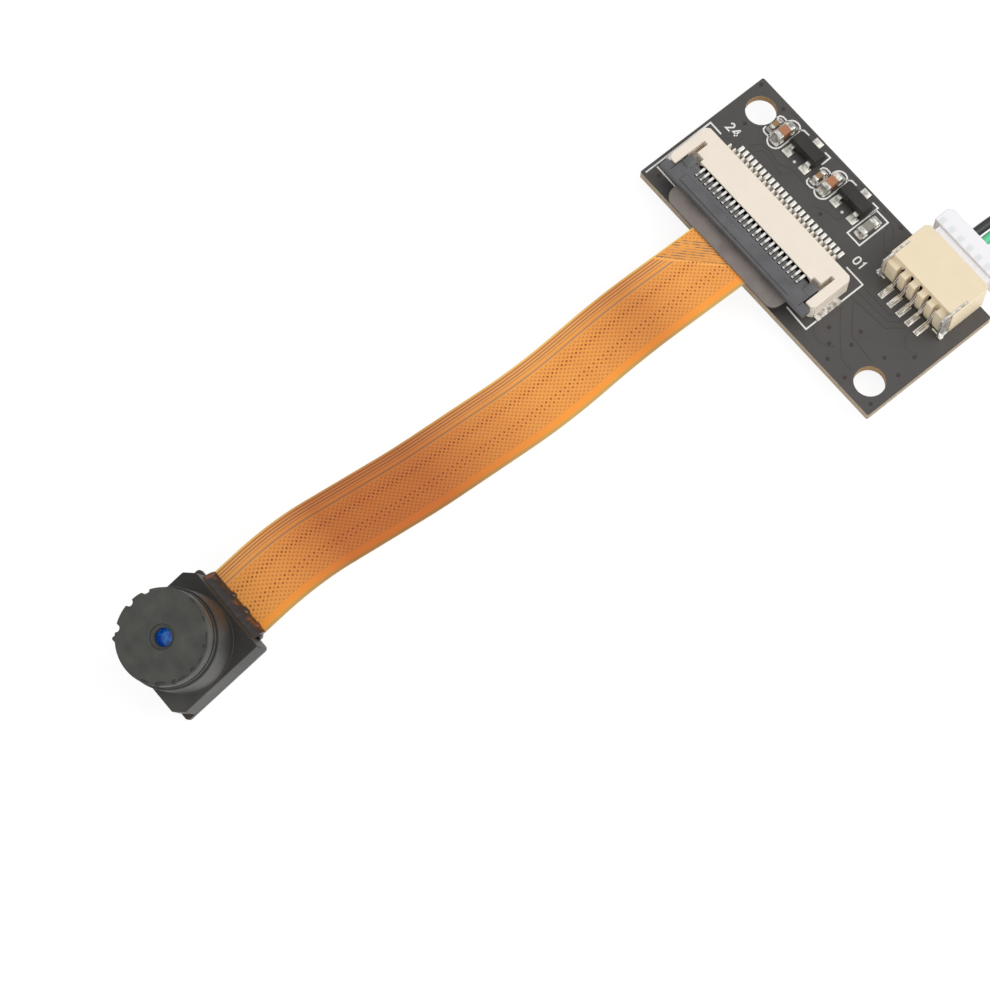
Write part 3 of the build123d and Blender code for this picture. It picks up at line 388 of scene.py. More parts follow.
# %% [markdown]
# The board is solder mask over glass and resin. The mask covers only the two faces, so the finish looks at
# the height: between the faces the edge shows tan resin with fine layers of glass, and it is browner inside
# the holes.
# %% Board finish
BOARD_THICKNESS = 0.8
MASK_THICKNESS = 0.03
HOLES = [(-11.1, 4.35), (11.1, -4.35)]
HOLE_RADIUS, HOLE_MARGIN = 1.25, 0.1
LAYER_HEIGHT = 0.1
board = Finish("solder_mask_and_resin", as_seen(84, 81, 79), 0.42)
layer = board.z.wrapped(LAYER_HEIGHT).fade(0, LAYER_HEIGHT / 2)
resin = board.mix(layer * board.noise(0.5), paint(150, 128, 100), paint(206, 196, 172))
for hole_x, hole_y in HOLES:
    aside, ahead = board.x - hole_x, board.y - hole_y
    in_hole = aside * aside + ahead * ahead < (HOLE_RADIUS + HOLE_MARGIN) ** 2
    resin = board.mix(in_hole, resin, paint(170, 138, 94))
mask = board.mix(board.noise(2.2, 5), paint(68, 65, 63), paint(80, 77, 75))
on_edge = board.z.between(MASK_THICKNESS, BOARD_THICKNESS - MASK_THICKNESS)
board.set("Base Color", board.mix(on_edge, mask, resin))
board.set("Roughness", 0.4 + 0.3 * on_edge)
board.relief(board.noise(0.25), 0.004)
print("holes", len(HOLES))

# %% [markdown]
# The flexible circuit shows its copper through the orange film. An image of the pattern would blur close up,
# so it is written as formulas in the strip's own two directions: across it, and along it from the connector
# to the head.
# %% Directions on the flexible circuit
STRIP_START = (-3.7, -6.35)
STRIP_YAW = radians(1.4)
film = Finish("orange_film_over_copper", as_seen(241, 160, 70), 0.42)
right_of, front_of = film.x - STRIP_START[0], STRIP_START[1] - film.y
across = right_of * cos(STRIP_YAW) + front_of * sin(STRIP_YAW)
along = front_of * cos(STRIP_YAW) - right_of * sin(STRIP_YAW)
slanted = across + along


def band(value, middle, half_width):
    """One in the middle of a band, and zero outside it."""
    return abs(value - middle).fade(half_width, half_width * 0.4)


def stretch(start, full, fading, end):
    """One between two places along the strip, with soft ends."""
    return along.fade(start, full) * along.fade(end, fading)


# %% [markdown]
# There are straight conductors at one edge, conductors that fan out near the connector, and a copper mesh
# whose small openings look like dark dots. The openings stand on two grids, one shifted by half a pitch both
# ways, and are darkest in two rows. Each pattern is a share from 0 to 1, which the finish can paint with.
# %% Copper under the film
CONDUCTOR_SIDES = (-2.95, -2.1)
FIRST_CONDUCTOR, CONDUCTOR_PITCH = -3.0, 0.225
MESH = (0.38, 0.457)
MESH_SIDES = (-1.55, 2.25)
DARK_ROWS = (-0.75, 0.9)
GREY_LINE = -1.77
FAN_START, FAN_END = -1.05, 1.3
FAN_PITCH = 0.31
OPENING_RIM, OPENING_CORE = 0.115, 0.04


def mesh_dots(shift):
    """One grid of the mesh's openings, shifted by a share of its two pitches."""
    aside = (across - MESH[0] * shift).wrapped(MESH[0])
    ahead = (along - MESH[1] * shift).wrapped(MESH[1])
    return (aside * aside + ahead * ahead).fade(OPENING_RIM ** 2, OPENING_CORE ** 2)


past_fan = slanted > FAN_END
beside_mesh = across.between(*CONDUCTOR_SIDES) * past_fan
in_mesh = across.between(*MESH_SIDES) * past_fan + (slanted < FAN_START)
first_row = band(across, DARK_ROWS[0], 0.4)
dark_rows = first_row + band(across, DARK_ROWS[1], 0.45) * 0.9
dots = mesh_dots(0) * (0.45 + 0.55 * dark_rows) + mesh_dots(0.5) * (0.45 + 0.3 * first_row)
openings = dots * in_mesh
lines = (across - FIRST_CONDUCTOR).wrapped(CONDUCTOR_PITCH).fade(0.075, 0.02) * beside_mesh
fan_lines = slanted.wrapped(FAN_PITCH).fade(0.1, 0.04) * slanted.between(FAN_START, FAN_END)
print("nodes of the film so far", len(film.tree.nodes))

# %% [markdown]
# The film is painted in layers, from the bare orange to the clear edges: each layer is a share of the surface
# and the colour it gets there. Where the strip bends away from the light it is tinted darker, because copper
# under a film mirrors its surroundings. The ends under the head and in the connector are dark all over.
# %% Flexible circuit finish
WHITE = (1, 1, 1, 1)
CLEAR_SIDES = (-2.9, 2.76)
NEAR_BEND, FAR_BEND = (4, 8, 9, 13), (17, 29, 38, 45)
STRIP_HALF_WIDTH = 3.02
PAD_START = 47.3
layers = [
    ((across > MESH_SIDES[1]) * past_fan, (252, 156, 52)),
    (beside_mesh * 0.7, (238, 172, 104)),
    (lines * 0.9, (168, 98, 36)),
    (fan_lines * film.noise(0.5).fade(0.35, 0.6), (138, 112, 84)),
    (band(across, GREY_LINE, 0.09) * past_fan, (176, 134, 98)),
    (band(slanted, FAN_END + 0.22, 0.16), (252, 176, 84)),
    (openings, (146, 64, 22)),
    (across < CLEAR_SIDES[0], (236, 196, 96)),
    (across > CLEAR_SIDES[1], (206, 164, 88)),
]
orange = film.mix(film.noise(1.8, 4), paint(238, 152, 62), paint(246, 168, 78))
for share, colour in layers:
    orange = film.mix(share, orange, paint(*colour))
bent_away = stretch(*NEAR_BEND) * 0.5 + stretch(*FAR_BEND)
orange = film.tint(orange, film.mix(bent_away, WHITE, paint(200, 172, 146)))
on_ends = (abs(across) > STRIP_HALF_WIDTH).at_least(along > PAD_START)
film.set("Base Color", film.mix(on_ends, orange, paint(62, 54, 50)))
film.relief(lines + openings + fan_lines, -0.006)
print("layers", len(layers))

# %% [markdown]
# The connector, the cable socket, the lens barrel and the chips are all moulded, each in its own plastic. The
# lens holder is dusty, and painted shade makes it darker towards the flexible circuit, so its colour also
# depends on the place.
# %% Plastics
HOLDER_SHADE = (-58.5, -55)
cream = moulded("cream_connector_plastic", (236, 225, 210), 0.5, speckle=0.04)
slate = moulded("slate_grey_plastic", (92, 92, 94), 0.5, speckle=0.4, depth=0.012)
beige = moulded("beige_socket_plastic", (235, 218, 187), 0.5, speckle=0.04)
white_plastic = moulded("white_plastic", (228, 228, 226), 0.45, speckle=0.03)
matt_black = moulded("matt_black_plastic", (65, 65, 61), 0.5, speckle=0.6, grain=0.09, depth=0.015)
moulding = moulded("chip_moulding", (40, 38, 34), 0.55, speckle=0.6, grain=0.07, depth=0.015)
jacket = moulded("soft_black_jacket", (40, 40, 41), 0.5, speckle=0.1, grain=0.3)
brown_film = moulded("brown_stiffener_film", (124, 115, 110), 0.5, speckle=0.4, grain=0.5)
dark_end = moulded("holder_plastic", (58, 57, 54), 0.5, grain=0.09, depth=0.012)
dusty = dark_end.mix(dark_end.noise(1.3, 4), paint(44, 43, 40), paint(76, 75, 71))
# Painted shade: the holder's colour darkens towards the flexible circuit.
shade = dark_end.y.fade(*HOLDER_SHADE) * 0.75
dark_end.set("Base Color", dark_end.mix(shade, dusty, paint(24, 22, 21)))
insulation = {
    "black": moulded("black_insulation", (52, 52, 54), 0.4),
    "green": moulded("green_insulation", (98, 206, 152), 0.4, speckle=0.04),
    "white": moulded("white_insulation", (228, 228, 224), 0.4, speckle=0.03),
    "red": moulded("red_insulation", (196, 44, 38), 0.4, speckle=0.05),
}
print("insulation", list(insulation))

# %% [markdown]
# A chip capacitor is a block of ceramic between two metal caps. Its colour tells the kind: tan for one,
# terracotta for another. Melted solder has the most patches of all the metals, because it freezes in ripples.
# %% Ceramics and metals
tan_ceramic = moulded("tan_ceramic", (150, 118, 80), 0.45, speckle=0.2, grain=0.1)
terracotta = moulded("terracotta_ceramic", (172, 116, 82), 0.5, speckle=0.08, grain=0.1)
resistor_film = moulded("resistor_film", (140, 137, 128), 0.35, speckle=0.25, grain=0.15)
white_ceramic = moulded("white_ceramic", (225, 221, 210), 0.45, speckle=0.04)
silicon = moulded("silicon_die", (52, 58, 74), 0.2, speckle=0.1)
tin = metal("bright_tin", (246, 243, 236), 0.28, patch_size=0.35, darkest=0.5)
solder = metal("solder", (250, 246, 238), 0.26, patch_size=0.35, depth=0.012, darkest=0.35)
bright_solder = metal("bright_solder", (253, 250, 240), 0.3, patch_size=0.4, depth=0.006, darkest=0.7)
nickel = metal("satin_nickel", (222, 220, 215), 0.3, patch_size=3.0, darkest=0.9)
gold = metal("gold_plating", (232, 190, 106), 0.28, patch_size=0.5)
steel = metal("blackened_steel_plate", (84, 84, 88), 0.4, patch_size=1.0)
print("materials so far", len(bpy.data.materials))

# %% [markdown]
# The connector's contacts are bright where they lie flat and dark where they bend up into the housing,
# because a bend mirrors the dark gap beside it. A mirror as small as this would be a few noisy dots in the
# picture, so the dark bends are painted. The pads under the contacts' tails get the same painted shade, and
# the socket's pins get streaks.
# %% Contacts, pins and pads
TAIL_ROOT, BEAM_BEND = 0.36, -3.66
LAST_CONTACT = 2.1
STREAK_PITCH = 0.14
PAINTED_SHADE_TIN = paint(74, 66, 58)
contact_tin = Finish("bright_contact_tin", as_seen(246, 243, 236), 0.28, Metallic=TARNISHED)
bends = band(contact_tin.y, TAIL_ROOT, 0.4) + band(contact_tin.y, BEAM_BEND, 0.22) * 0.8
bends = bends * (0.6 + 0.5 * contact_tin.noise(0.3, 2))
contact_tin.set("Base Color", contact_tin.mix(bends, paint(250, 247, 241), PAINTED_SHADE_TIN))
pin_tin = Finish("bright_pin_tin", as_seen(240, 234, 224), 0.26, Metallic=TARNISHED)
streaks = pin_tin.x.wrapped(STREAK_PITCH).fade(0.05, 0.02) * pin_tin.noise(0.5, 2).fade(0.4, 0.5)
pin_tin.set("Base Color", pin_tin.mix(streaks, paint(240, 234, 224), paint(90, 80, 70)))
pad_solder = Finish("solder_on_pads", as_seen(252, 249, 242), 0.28, Metallic=TARNISHED)
# Painted shade: the pads darken where the contacts' tails leave the housing.
painted_root_shade = band(pad_solder.y, TAIL_ROOT, 0.4) * (pad_solder.x < LAST_CONTACT) * 0.9
pad_solder.set("Base Color", pad_solder.mix(painted_root_shade, paint(252, 249, 242), PAINTED_SHADE_TIN))
print("dark tin where y is", TAIL_ROOT, "and", BEAM_BEND)

# %% [markdown]
# The adhesive under the lens holder is dark, with lighter brown patches that are painted glints. The cable
# plug is milky plastic with a row of marks, one at each terminal, where the metal shows through.
# %% Glue and plug plastic
TERMINAL_PITCH, FIRST_MARK, MARK_ROW = 1.0, 0.4, 7.9
black_glue = moulded("black_glue", (46, 45, 43), 0.32, speckle=0.3, grain=0.4, depth=0.04)
amber_glue = Finish("amber_brown_glue", as_seen(40, 30, 27), 0.3, Coat_Weight=0.3)
# Painted glints: patches of lighter brown in the dark glue.
painted_glints = amber_glue.noise(0.8, 4).fade(0.57, 0.7)
brown = paint(38, 31, 29)
amber_glue.set("Base Color", amber_glue.mix(painted_glints, brown, paint(112, 62, 34)))
amber_glue.relief(amber_glue.noise(0.6), 0.12)
milky = Finish("milky_plug_plastic", as_seen(241, 239, 242), 0.38)
beside_mark, off_row = (milky.x - FIRST_MARK).wrapped(TERMINAL_PITCH), abs(milky.y - MARK_ROW)
marks = beside_mark.fade(0.34, 0.16) * off_row.fade(0.4, 0.2) * 0.5
milky.set("Base Color", milky.mix(marks, paint(241, 239, 242), paint(205, 214, 212)))
milky.relief(milky.noise(0.3, 2), 0.006)
print("marks on the plug in row", MARK_ROW)

# %% [markdown]
# The lenses are coated, which is why the front one looks blue. Real coated glass shows its colour in what it
# mirrors; here the colour is in the glass itself, so that it stays blue from every side.
# %% Glass
def coated_glass(name, screen_colour, patch_colour, alpha):
    """Glass with a coating, whose lighter patches stand for what it mirrors."""
    made = Finish(name, as_seen(*screen_colour), 0.12, Coat_Weight=0.2, Alpha=alpha)
    patch = made.noise(0.45, 2).fade(0.45, 0.6)
    made.set("Base Color", made.mix(patch, paint(*screen_colour), paint(*patch_colour)))
    return made


blue_glass = coated_glass("blue_coated_glass", (2, 80, 196), (8, 132, 224), alpha=1.0)
clear_glass = coated_glass("clear_glass", (205, 220, 226), (220, 230, 235), alpha=0.35)
filter_glass = coated_glass("filter_glass", (120, 190, 196), (150, 120, 170), alpha=0.45)
print("materials", len(bpy.data.materials))

# %% [markdown]
# One table gives each solid its finish, so it reads like a parts list. The wires and the cable were laid
# above and are dressed after it.
# %% Finishes of the solids
solid_finishes = {
    "circuit_board": board, "flexible_circuit": film, "connector_housing": cream, "lock_bar": slate,
    "connector_contacts": contact_tin, "connector_hold_downs": solder, "flex_end_stiffener": brown_film,
    "flex_contact_fingers": gold, "head_plate": steel, "image_sensor": silicon,
    "sensor_cover_glass": clear_glass, "sensor_capacitors": tan_ceramic, "lens_holder": dark_end,
    "lens_barrel": matt_black, "infrared_filter": filter_glass, "front_lens": blue_glass,
    "middle_lens": blue_glass, "rear_lens": blue_glass, "lens_spacers": matt_black,
    "lens_retaining_ring": matt_black, "lens_lock_glue": black_glue, "holder_adhesive": amber_glue,
    "small_capacitor_bodies": tan_ceramic, "small_capacitor_caps": solder,
    "large_capacitor_bodies": terracotta, "large_capacitor_caps": solder,
    "chip_resistor_bodies": resistor_film, "chip_resistor_caps": solder,
    "underside_capacitor_bodies": tan_ceramic, "underside_capacitor_caps": solder,
    "regulator_bodies": moulding, "regulator_leads": tin, "cable_socket_housing": beige,
    "cable_socket_pins": pin_tin, "cable_socket_tabs": tin, "cable_plug_housing": milky,
    "cable_plug_terminals": tin, "controller_chip": moulding, "memory_chip": moulding,
    "crystal_base": white_ceramic, "crystal_can": nickel, "solder_pads": pad_solder, "cable_sleeve": jacket,
    "cable_tie": matt_black, "host_plug_overmould": jacket, "host_plug_shell": nickel,
    "host_plug_insulator": white_plastic, "host_plug_contacts": gold,
}


def dress(piece, finish):
    """Gives every face of a piece one finish."""
    piece.data.materials.clear()
    piece.data.materials.append(finish.material)


for node_name, worn in solid_finishes.items():
    dress(nodes[node_name], worn)
for colour_name, worn in insulation.items():
    dress(wires[colour_name], worn)
dress(cable, jacket)
print("dressed", len(solid_finishes), "solids")

# %% [markdown]
# Every piece in the scene says two things about itself: its finish and the body it moves with. Most pieces
# also get smooth shading across their rounded edges, with true corners left sharp.
# %% Finished and smoothed pieces
def finished(piece, finish, body="module"):
    """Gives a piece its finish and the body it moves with."""
    dress(piece, finish)
    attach(piece, body)
    return piece


def new_piece(name, mesh, finish, body="module"):
    """Puts a mesh into the scene as a finished piece."""
    piece = bpy.data.objects.new(name, mesh)
    bpy.context.scene.collection.objects.link(piece)
    return finished(piece, finish, body)


def smoothed(piece, angle):
    """Shades a piece smooth where its faces meet at less than an angle in degrees."""
    bpy.ops.object.select_all(action="DESELECT")
    bpy.context.view_layer.objects.active = piece
    piece.select_set(True)
    bpy.ops.object.shade_smooth_by_angle(angle=radians(angle))


def apply_modifier(piece, kind, **settings):
    """Adds a modifier with its settings to a piece and applies it."""
    modifier = piece.modifiers.new(kind.lower(), kind)
    for setting, value in settings.items():
        setattr(modifier, setting, value)
    bpy.context.view_layer.objects.active = piece
    bpy.ops.object.modifier_apply(modifier=modifier.name)


# %% [markdown]
# Solids from CAD have knife-sharp edges, and no real edge is that sharp. A bevel could stay a live modifier,
# but the rounding is part of the piece, so each main moulding and the chips' end caps get a copy with merged
# faces and rounded edges. Weighted normals then keep the large faces flat beside the narrow rounded ones.
# %% Rounded mouldings
MERGE_DISTANCE = 0.0005
FLAT_ANGLE, EDGE_ANGLE = 1, 40
ROUNDING_STEPS = 2
roundings = (
    ("connector_housing", 0.05, "cream_plastic"),
    ("lock_bar", 0.05, "grey_plastic"),
    ("cable_socket_housing", 0.06, "beige_plastic"),
    ("cable_plug_housing", 0.09, "natural_plastic"),
    ("regulator_bodies", 0.05, "chip_moulding"),
    ("lens_holder", 0.06, "black_plastic"),
    ("lens_barrel", 0.07, "black_plastic"),
    ("large_capacitor_caps", 0.06, "solder"),
    ("small_capacitor_caps", 0.05, "solder"),
    ("chip_resistor_caps", 0.05, "solder"),
    ("flex_end_stiffener", 0.03, "stiffener_plastic"),
)
for name, width, slot in roundings:
    mesh = nodes[name].data.copy()
    work = bmesh.new()
    work.from_mesh(mesh)
    bmesh.ops.remove_doubles(work, verts=work.verts, dist=MERGE_DISTANCE * MM)
    bmesh.ops.dissolve_limit(work, angle_limit=radians(FLAT_ANGLE), verts=work.verts, edges=work.edges)
    work.to_mesh(mesh)
    work.free()
    body = "lock_bar" if name == "lock_bar" else "module"
    piece = new_piece(f"rounded_{name}", mesh, solid_finishes[name], body)
    apply_modifier(piece, "BEVEL", width=width * MM, segments=ROUNDING_STEPS, limit_method="ANGLE",
                   angle_limit=radians(EDGE_ANGLE), use_clamp_overlap=False)
    smoothed(piece, EDGE_ANGLE)
    apply_modifier(piece, "WEIGHTED_NORMAL", keep_sharp=True)
    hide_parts(name)
    print(name, "faces", len(mesh.polygons))

# %% [markdown]
# White marks are printed on the board: outlines round the parts, contact numbers and dots. A font would give
# its own letter shapes, and these are plain strokes of one width. So each stroke is a flat ribbon with mitred
# corners, along a list of places in millimetres from the board's corner, and one function draws digits, arcs
# and outlines alike. A ribbon's section has two low corners and two high ones, and its sides are pairs of
# them.
# %% Ribbons along a list of corners
SHARPEST_MITRE = 0.4
SECTION_SIDES = ((2, 3), (0, 2), (3, 1), (1, 0))
SECTION_END = (0, 1, 3, 2)


def corner_offsets(points, closed):
    """For each corner, the sideways step of a ribbon one unit wide on each side."""
    count = len(points)
    steps = []
    for index, place in enumerate(points):
        before = points[index - 1] if closed or index else None
        after = points[(index + 1) % count] if closed or index < count - 1 else None
        runs = [(Vector(end) - Vector(start)).normalized()
                for start, end in ((before, place), (place, after)) if None not in (start, end)]
        sides = [Vector((-run.y, run.x)) for run in runs]
        middle = sum(sides, Vector((0, 0))).normalized()
        steps.append(middle / max(middle.dot(sides[0]), SHARPEST_MITRE))
    return steps


def on_board(x, y, height):
    """A place given in millimetres from the board's corner and above its top."""
    return Vector((BOARD_CORNER.x + x * MM, BOARD_CORNER.y + y * MM, BOARD_TOP + height * MM))


def draw_strokes(name, strokes, width, height, finish):
    """One piece with a raised ribbon for each stroke; a stroke is its corners and whether it is closed."""
    work = bmesh.new()
    for points, closed in strokes:
        points = [Vector(point) for point in points]
        sections = []
        for point, step in zip(points, corner_offsets(points, closed)):
            near, far = point + step * width / 2, point - step * width / 2
            sections.append([work.verts.new(on_board(*spot, level))
                             for level in (0, height) for spot in (near, far)])
        for section, following in zip(sections, sections[1:] + sections[:1] * closed):
            for one, other in SECTION_SIDES:
                work.faces.new((section[one], section[other], following[other], following[one]))
        if not closed:
            for section in (sections[0], sections[-1]):
                work.faces.new([section[corner] for corner in SECTION_END])
    bmesh.ops.recalc_face_normals(work, faces=work.faces)
    mesh = bpy.data.meshes.new(name)
    work.to_mesh(mesh)
    work.free()
    new_piece(name, mesh, finish)


# %% [markdown]
# The marks are written where the real ones are: a bracket at each end of the connector, the numbers of its
# first and last contact, and an outline round each chip. What repeats is drawn once about its own middle and
# shifted.
# %% Printed marks
PRINT_WIDTH, PRINT_HEIGHT = 0.13, 0.015
DIGIT_HEIGHT = 0.7


def arc(x, y, radius, start, end, count=8):
    """Corners along an arc, from one angle to another in degrees."""
    return [(x + radius * cos(radians(start + (end - start) * step / count)),
             y + radius * sin(radians(start + (end - start) * step / count))) for step in range(count + 1)]


def shifted(points, x, y):
    """The same corners about another middle."""
    return [(px + x, py + y) for px, py in points]


def digit(shape, x, y):
    """A digit's corners on a grid one unit high, made the print's size."""
    return ([(x + DIGIT_HEIGHT * px, y + DIGIT_HEIGHT * py) for px, py in shape], False)


TWO = arc(0.3, 0.72, 0.26, 170, -20, 6) + [(0.02, 0.0), (0.62, 0.0)]
FOUR = [(0.46, 0.0), (0.46, 0.95), (0.4, 0.95), (0.0, 0.3), (0.68, 0.3)]
ONE = [(0.0, 0.8), (0.2, 1.0), (0.2, 0.0)]
ZERO = arc(0.3, 0.7, 0.28, 0, 180, 6) + arc(0.3, 0.3, 0.28, 180, 360, 6)
LARGE_CAPACITORS = [(4.64, 10.68), (10.15, 10.63)]
SMALL_CAPACITORS = [(3.7, 10.65), (9.1, 10.3)]
REGULATORS = [(6.9, 11.05), (12.4, 11.05)]
RESISTOR = (14.65, 10.4)
strokes = [
    ([(1.55, 6.95), (0.3, 6.97), (0.32, 0.3)], False),
    ([(0.5, 1.3), (2.7, 1.27)], False),
    ([(16.05, 6.95), (17.93, 6.93), (17.93, 1.1), (15.6, 1.2)], False),
    ([(13.97, 11.93), (15.3, 11.93), (15.33, 8.93), (13.95, 8.93)], True),
    ([(17.9, 9.3), (17.76, 8.6), (18.6, 8.58)], False),
    ([(24.0, 8.6), (24.93, 8.58), (24.9, 9.4)], False),
    digit(TWO, 1.35, 7.6), digit(FOUR, 1.98, 7.6), digit(ONE, 16.6, 7.6), (digit(ZERO, 15.95, 7.6)[0], True),
]
for x, y in LARGE_CAPACITORS:
    strokes.append((shifted(arc(0, 0.85, 0.65, 0, 180) + arc(0, -0.85, 0.65, 180, 360), x, y), True))
bracket = [(-0.45, 0.55), (-0.42, 0.85), (-0.2, 1.0), (0.2, 1.0), (0.42, 0.85), (0.45, 0.55)]
for x, y in SMALL_CAPACITORS:
    for turn in (1, -1):
        strokes.append(([(x + turn * px, y + turn * py) for px, py in bracket], False))
for x, y in REGULATORS:
    strokes.append((shifted([(-1.75, 0.8), (-1.5, 1.08), (-0.95, 1.1)], x, y), False))
    strokes.append((shifted([(0.9, 1.08), (1.5, 1.1), (1.52, 0.2)], x, y), False))
    strokes.append((shifted(arc(0, -1.28, 0.06, 0, 360, 6)[:-1], x, y), True))
ink = moulded("white_print", (236, 236, 232), 0.55, speckle=0.04)
draw_strokes("printed_marks", strokes, PRINT_WIDTH, PRINT_HEIGHT, ink)
print("printed strokes", len(strokes))

# %% [markdown]
# Copper runs under the solder mask and lifts it a little, and the runs' darker colour is painted shade, so
# they show as faint darker lines. Where a run goes through the board it ends in a small filled hole.
# %% Buried traces and filled holes
TRACE_WIDTH, TRACE_HEIGHT = 0.07, 0.012
VIA_RADIUS = 0.17
# The traces' darker colour is painted shade.
mask_shadow = moulded("mask_over_copper_edge", (66, 63, 61), 0.45)
trace_routes = [
    [(17.9, 6.2), (21.45, 6.38), (22.1, 7.15)],
    [(17.9, 6.83), (21.17, 6.85), (21.42, 7.25)],
    [(17.9, 5.57), (21.72, 5.85), (22.75, 7.14)],
    [(14.2, 12.4), (15.8, 11.95), (16.6, 11.35)],
    [(15.5, 11.75), (15.85, 10.97), (16.94, 10.07), (17.25, 10.2)],
    [(3.5, 12.45), (16.6, 12.45)],
    [(3.65, 8.02), (4.19, 8.82), (5.15, 8.9), (6.32, 8.7), (7.05, 9.17), (7.82, 9.24), (9.31, 9.1)],
    [(4.38, 8.05), (4.6, 8.54), (5.51, 8.58), (7.03, 8.24), (7.48, 9.04)],
    [(10.69, 8.38), (11.45, 8.89), (12.63, 9.03), (12.82, 9.5)],
    [(18.6, 5.3), (20.6, 3.4), (23.2, 3.2)],
    [(18.2, 4.4), (19.6, 3.1), (21.4, 1.6), (22.6, 1.5)],
    arc(24.1, 6.95, 0.95, 185, 320),
    arc(19.2, 2.6, 1.4, 200, 330),
]
traces = [(route, False) for route in trace_routes]
draw_strokes("buried_traces", traces, TRACE_WIDTH, TRACE_HEIGHT, mask_shadow)
via_places = [
    (18.93, 2.57), (20.73, 4.21), (19.93, 1.68), (21.08, 2.93), (20.79, 0.76), (23.48, 4.16), (24.89, 5.95),
    (22.77, 0.73), (25.21, 4.0), (25.62, 0.81), (0.35, 12.17), (2.99, 12.13), (2.03, 8.99), (11.46, 8.38),
    (16.25, 12.39), (1.16, 0.89),
]
via_finish = moulded("filled_hole", (58, 46, 43), 0.4)
rings = [(arc(x, y, VIA_RADIUS / 2, 0, 360, 10)[:-1], True) for x, y in via_places]
draw_strokes("filled_holes", rings, VIA_RADIUS, PRINT_HEIGHT, via_finish)
print("traces", len(trace_routes), "filled holes", len(via_places))

# %% [markdown]
# Melted solder climbs the end of each chip in a hollow curve. Its section is a few points of that curve, and
# the wedge is four such sections side by side, the outer two a little smaller. A table gives each kind of
# chip its places and length, and its solder's width, height and reach, and a loop puts a wedge at both ends
# of every chip.
# %% Solder at the chips' ends
PAD_TOP = 0.04
HOLLOW = [(0, 0), (0, 0.72), (0.12, 0.5), (0.35, 0.26), (0.68, 0.12), (1, 0.04), (1, 0)]
SECTIONS = [(-1, 0.86), (-0.8, 1), (0.8, 1), (1, 0.86)]
SMOOTH_ANGLE = 50
wedges = bmesh.new()


def add_solder(x, y, turn, width, height, reach):
    """A wedge at a chip's end: full height at the metal, hollow, and thin where the pad ends."""
    rows = []
    for side, size in SECTIONS:
        places = [on_board(x + side * width / 2, y + turn * out * reach * size, PAD_TOP + up * height * size)
                  for out, up in HOLLOW]
        rows.append([wedges.verts.new(place) for place in places])
    for row, following in zip(rows, rows[1:]):
        for index in range(len(HOLLOW)):
            after = (index + 1) % len(HOLLOW)
            wedges.faces.new((row[index], row[after], following[after], following[index]))
    wedges.faces.new(rows[0])
    wedges.faces.new(rows[-1])


chip_kinds = [
    (LARGE_CAPACITORS, 1.6, 0.9, 0.8, 0.42),
    (SMALL_CAPACITORS, 1.0, 0.55, 0.5, 0.28),
    ([RESISTOR], 1.6, 0.85, 0.45, 0.34),
]
for chips, length, width, height, reach in chip_kinds:
    for x, y in chips:
        for turn in (-1, 1):
            add_solder(x, y + turn * length / 2, turn, width, height, reach)
bmesh.ops.recalc_face_normals(wedges, faces=wedges.faces)
solder_mesh = bpy.data.meshes.new("chip_solder")
wedges.to_mesh(solder_mesh)
wedges.free()
smoothed(new_piece("chip_solder", solder_mesh, solder), SMOOTH_ANGLE)
print("faces of solder", len(solder_mesh.polygons))

# %% [markdown]
# A regulator's leads stand in pools of solder that cover pads wider than the leads themselves. A pool is a
# low block whose edges are bevelled, which is all that shows at this size: a cube is added at its size and
# place, and a modifier rounds it. All pools are joined to one piece, because they are one kind of thing.
# %% Solder pools under the leads
POOL = (0.82, 0.72, 0.09)
POOL_AHEAD, LEAD_SPREAD = 1.1, 0.95
BLOCK_ROUNDING = 0.04


def block(name, middle, size):
    """A cube made a block of some size in millimetres, with its middle at a place on the board."""
    bpy.ops.object.select_all(action="DESELECT")
    bpy.ops.mesh.primitive_cube_add(size=1)
    made = bpy.context.object
    made.name = name
    made.location, made.scale = on_board(*middle), Vector(size) * MM
    bpy.ops.object.transform_apply(location=True, rotation=True, scale=True)
    return made


def joined(pieces, name):
    """Makes one object of several and names it."""
    bpy.ops.object.select_all(action="DESELECT")
    for piece in pieces:
        piece.select_set(True)
    bpy.context.view_layer.objects.active = pieces[0]
    if len(pieces) > 1:
        bpy.ops.object.join()
    pieces[0].name = name
    return pieces[0]


def finished_blocks(blocks, name, finish):
    """Joins blocks to one piece and rounds its edges."""
    piece = joined(blocks, name)
    apply_modifier(piece, "BEVEL", width=BLOCK_ROUNDING * MM, segments=ROUNDING_STEPS)
    smoothed(finished(piece, finish), SMOOTH_ANGLE)


pools = []
for x, y in REGULATORS:
    for aside, ahead in ((-LEAD_SPREAD, -POOL_AHEAD), (LEAD_SPREAD, -POOL_AHEAD), (0, POOL_AHEAD)):
        pools.append(block("solder_pool", (x + aside, y + ahead, POOL[2] / 2), POOL))
finished_blocks(pools, "lead_solder_pools", bright_solder)
print("solder pools", len(pools))

# %% [markdown]
# Behind the connector small ribs keep its contacts apart where they leave the housing. They could be copied
# one by one, but one rib and an array at the contacts' pitch say it in a line. The first rib stands half a
# pitch beside the first contact, so that every contact is between two ribs.
# %% Ribs between the contacts
CONTACT_COUNT, CONTACT_PITCH = 24, 0.5
CONNECTOR_MIDDLE, CONNECTOR_BACK = 9.25, 5.9
RIB = (0.16, 0.42, 1.3)
RIB_TOP, RIB_SUNK = 1.94, 0.04
first_rib = CONNECTOR_MIDDLE - CONTACT_COUNT * CONTACT_PITCH / 2
rib = block("rib", (first_rib, CONNECTOR_BACK + RIB[1] / 2 - RIB_SUNK, RIB_TOP - RIB[2] / 2), RIB)
apply_modifier(rib, "ARRAY", count=CONTACT_COUNT + 1, use_relative_offset=False, use_constant_offset=True,
               constant_offset_displace=(CONTACT_PITCH * MM, 0, 0))
finished_blocks([rib], "contact_ribs", cream)
print("ribs", CONTACT_COUNT + 1)

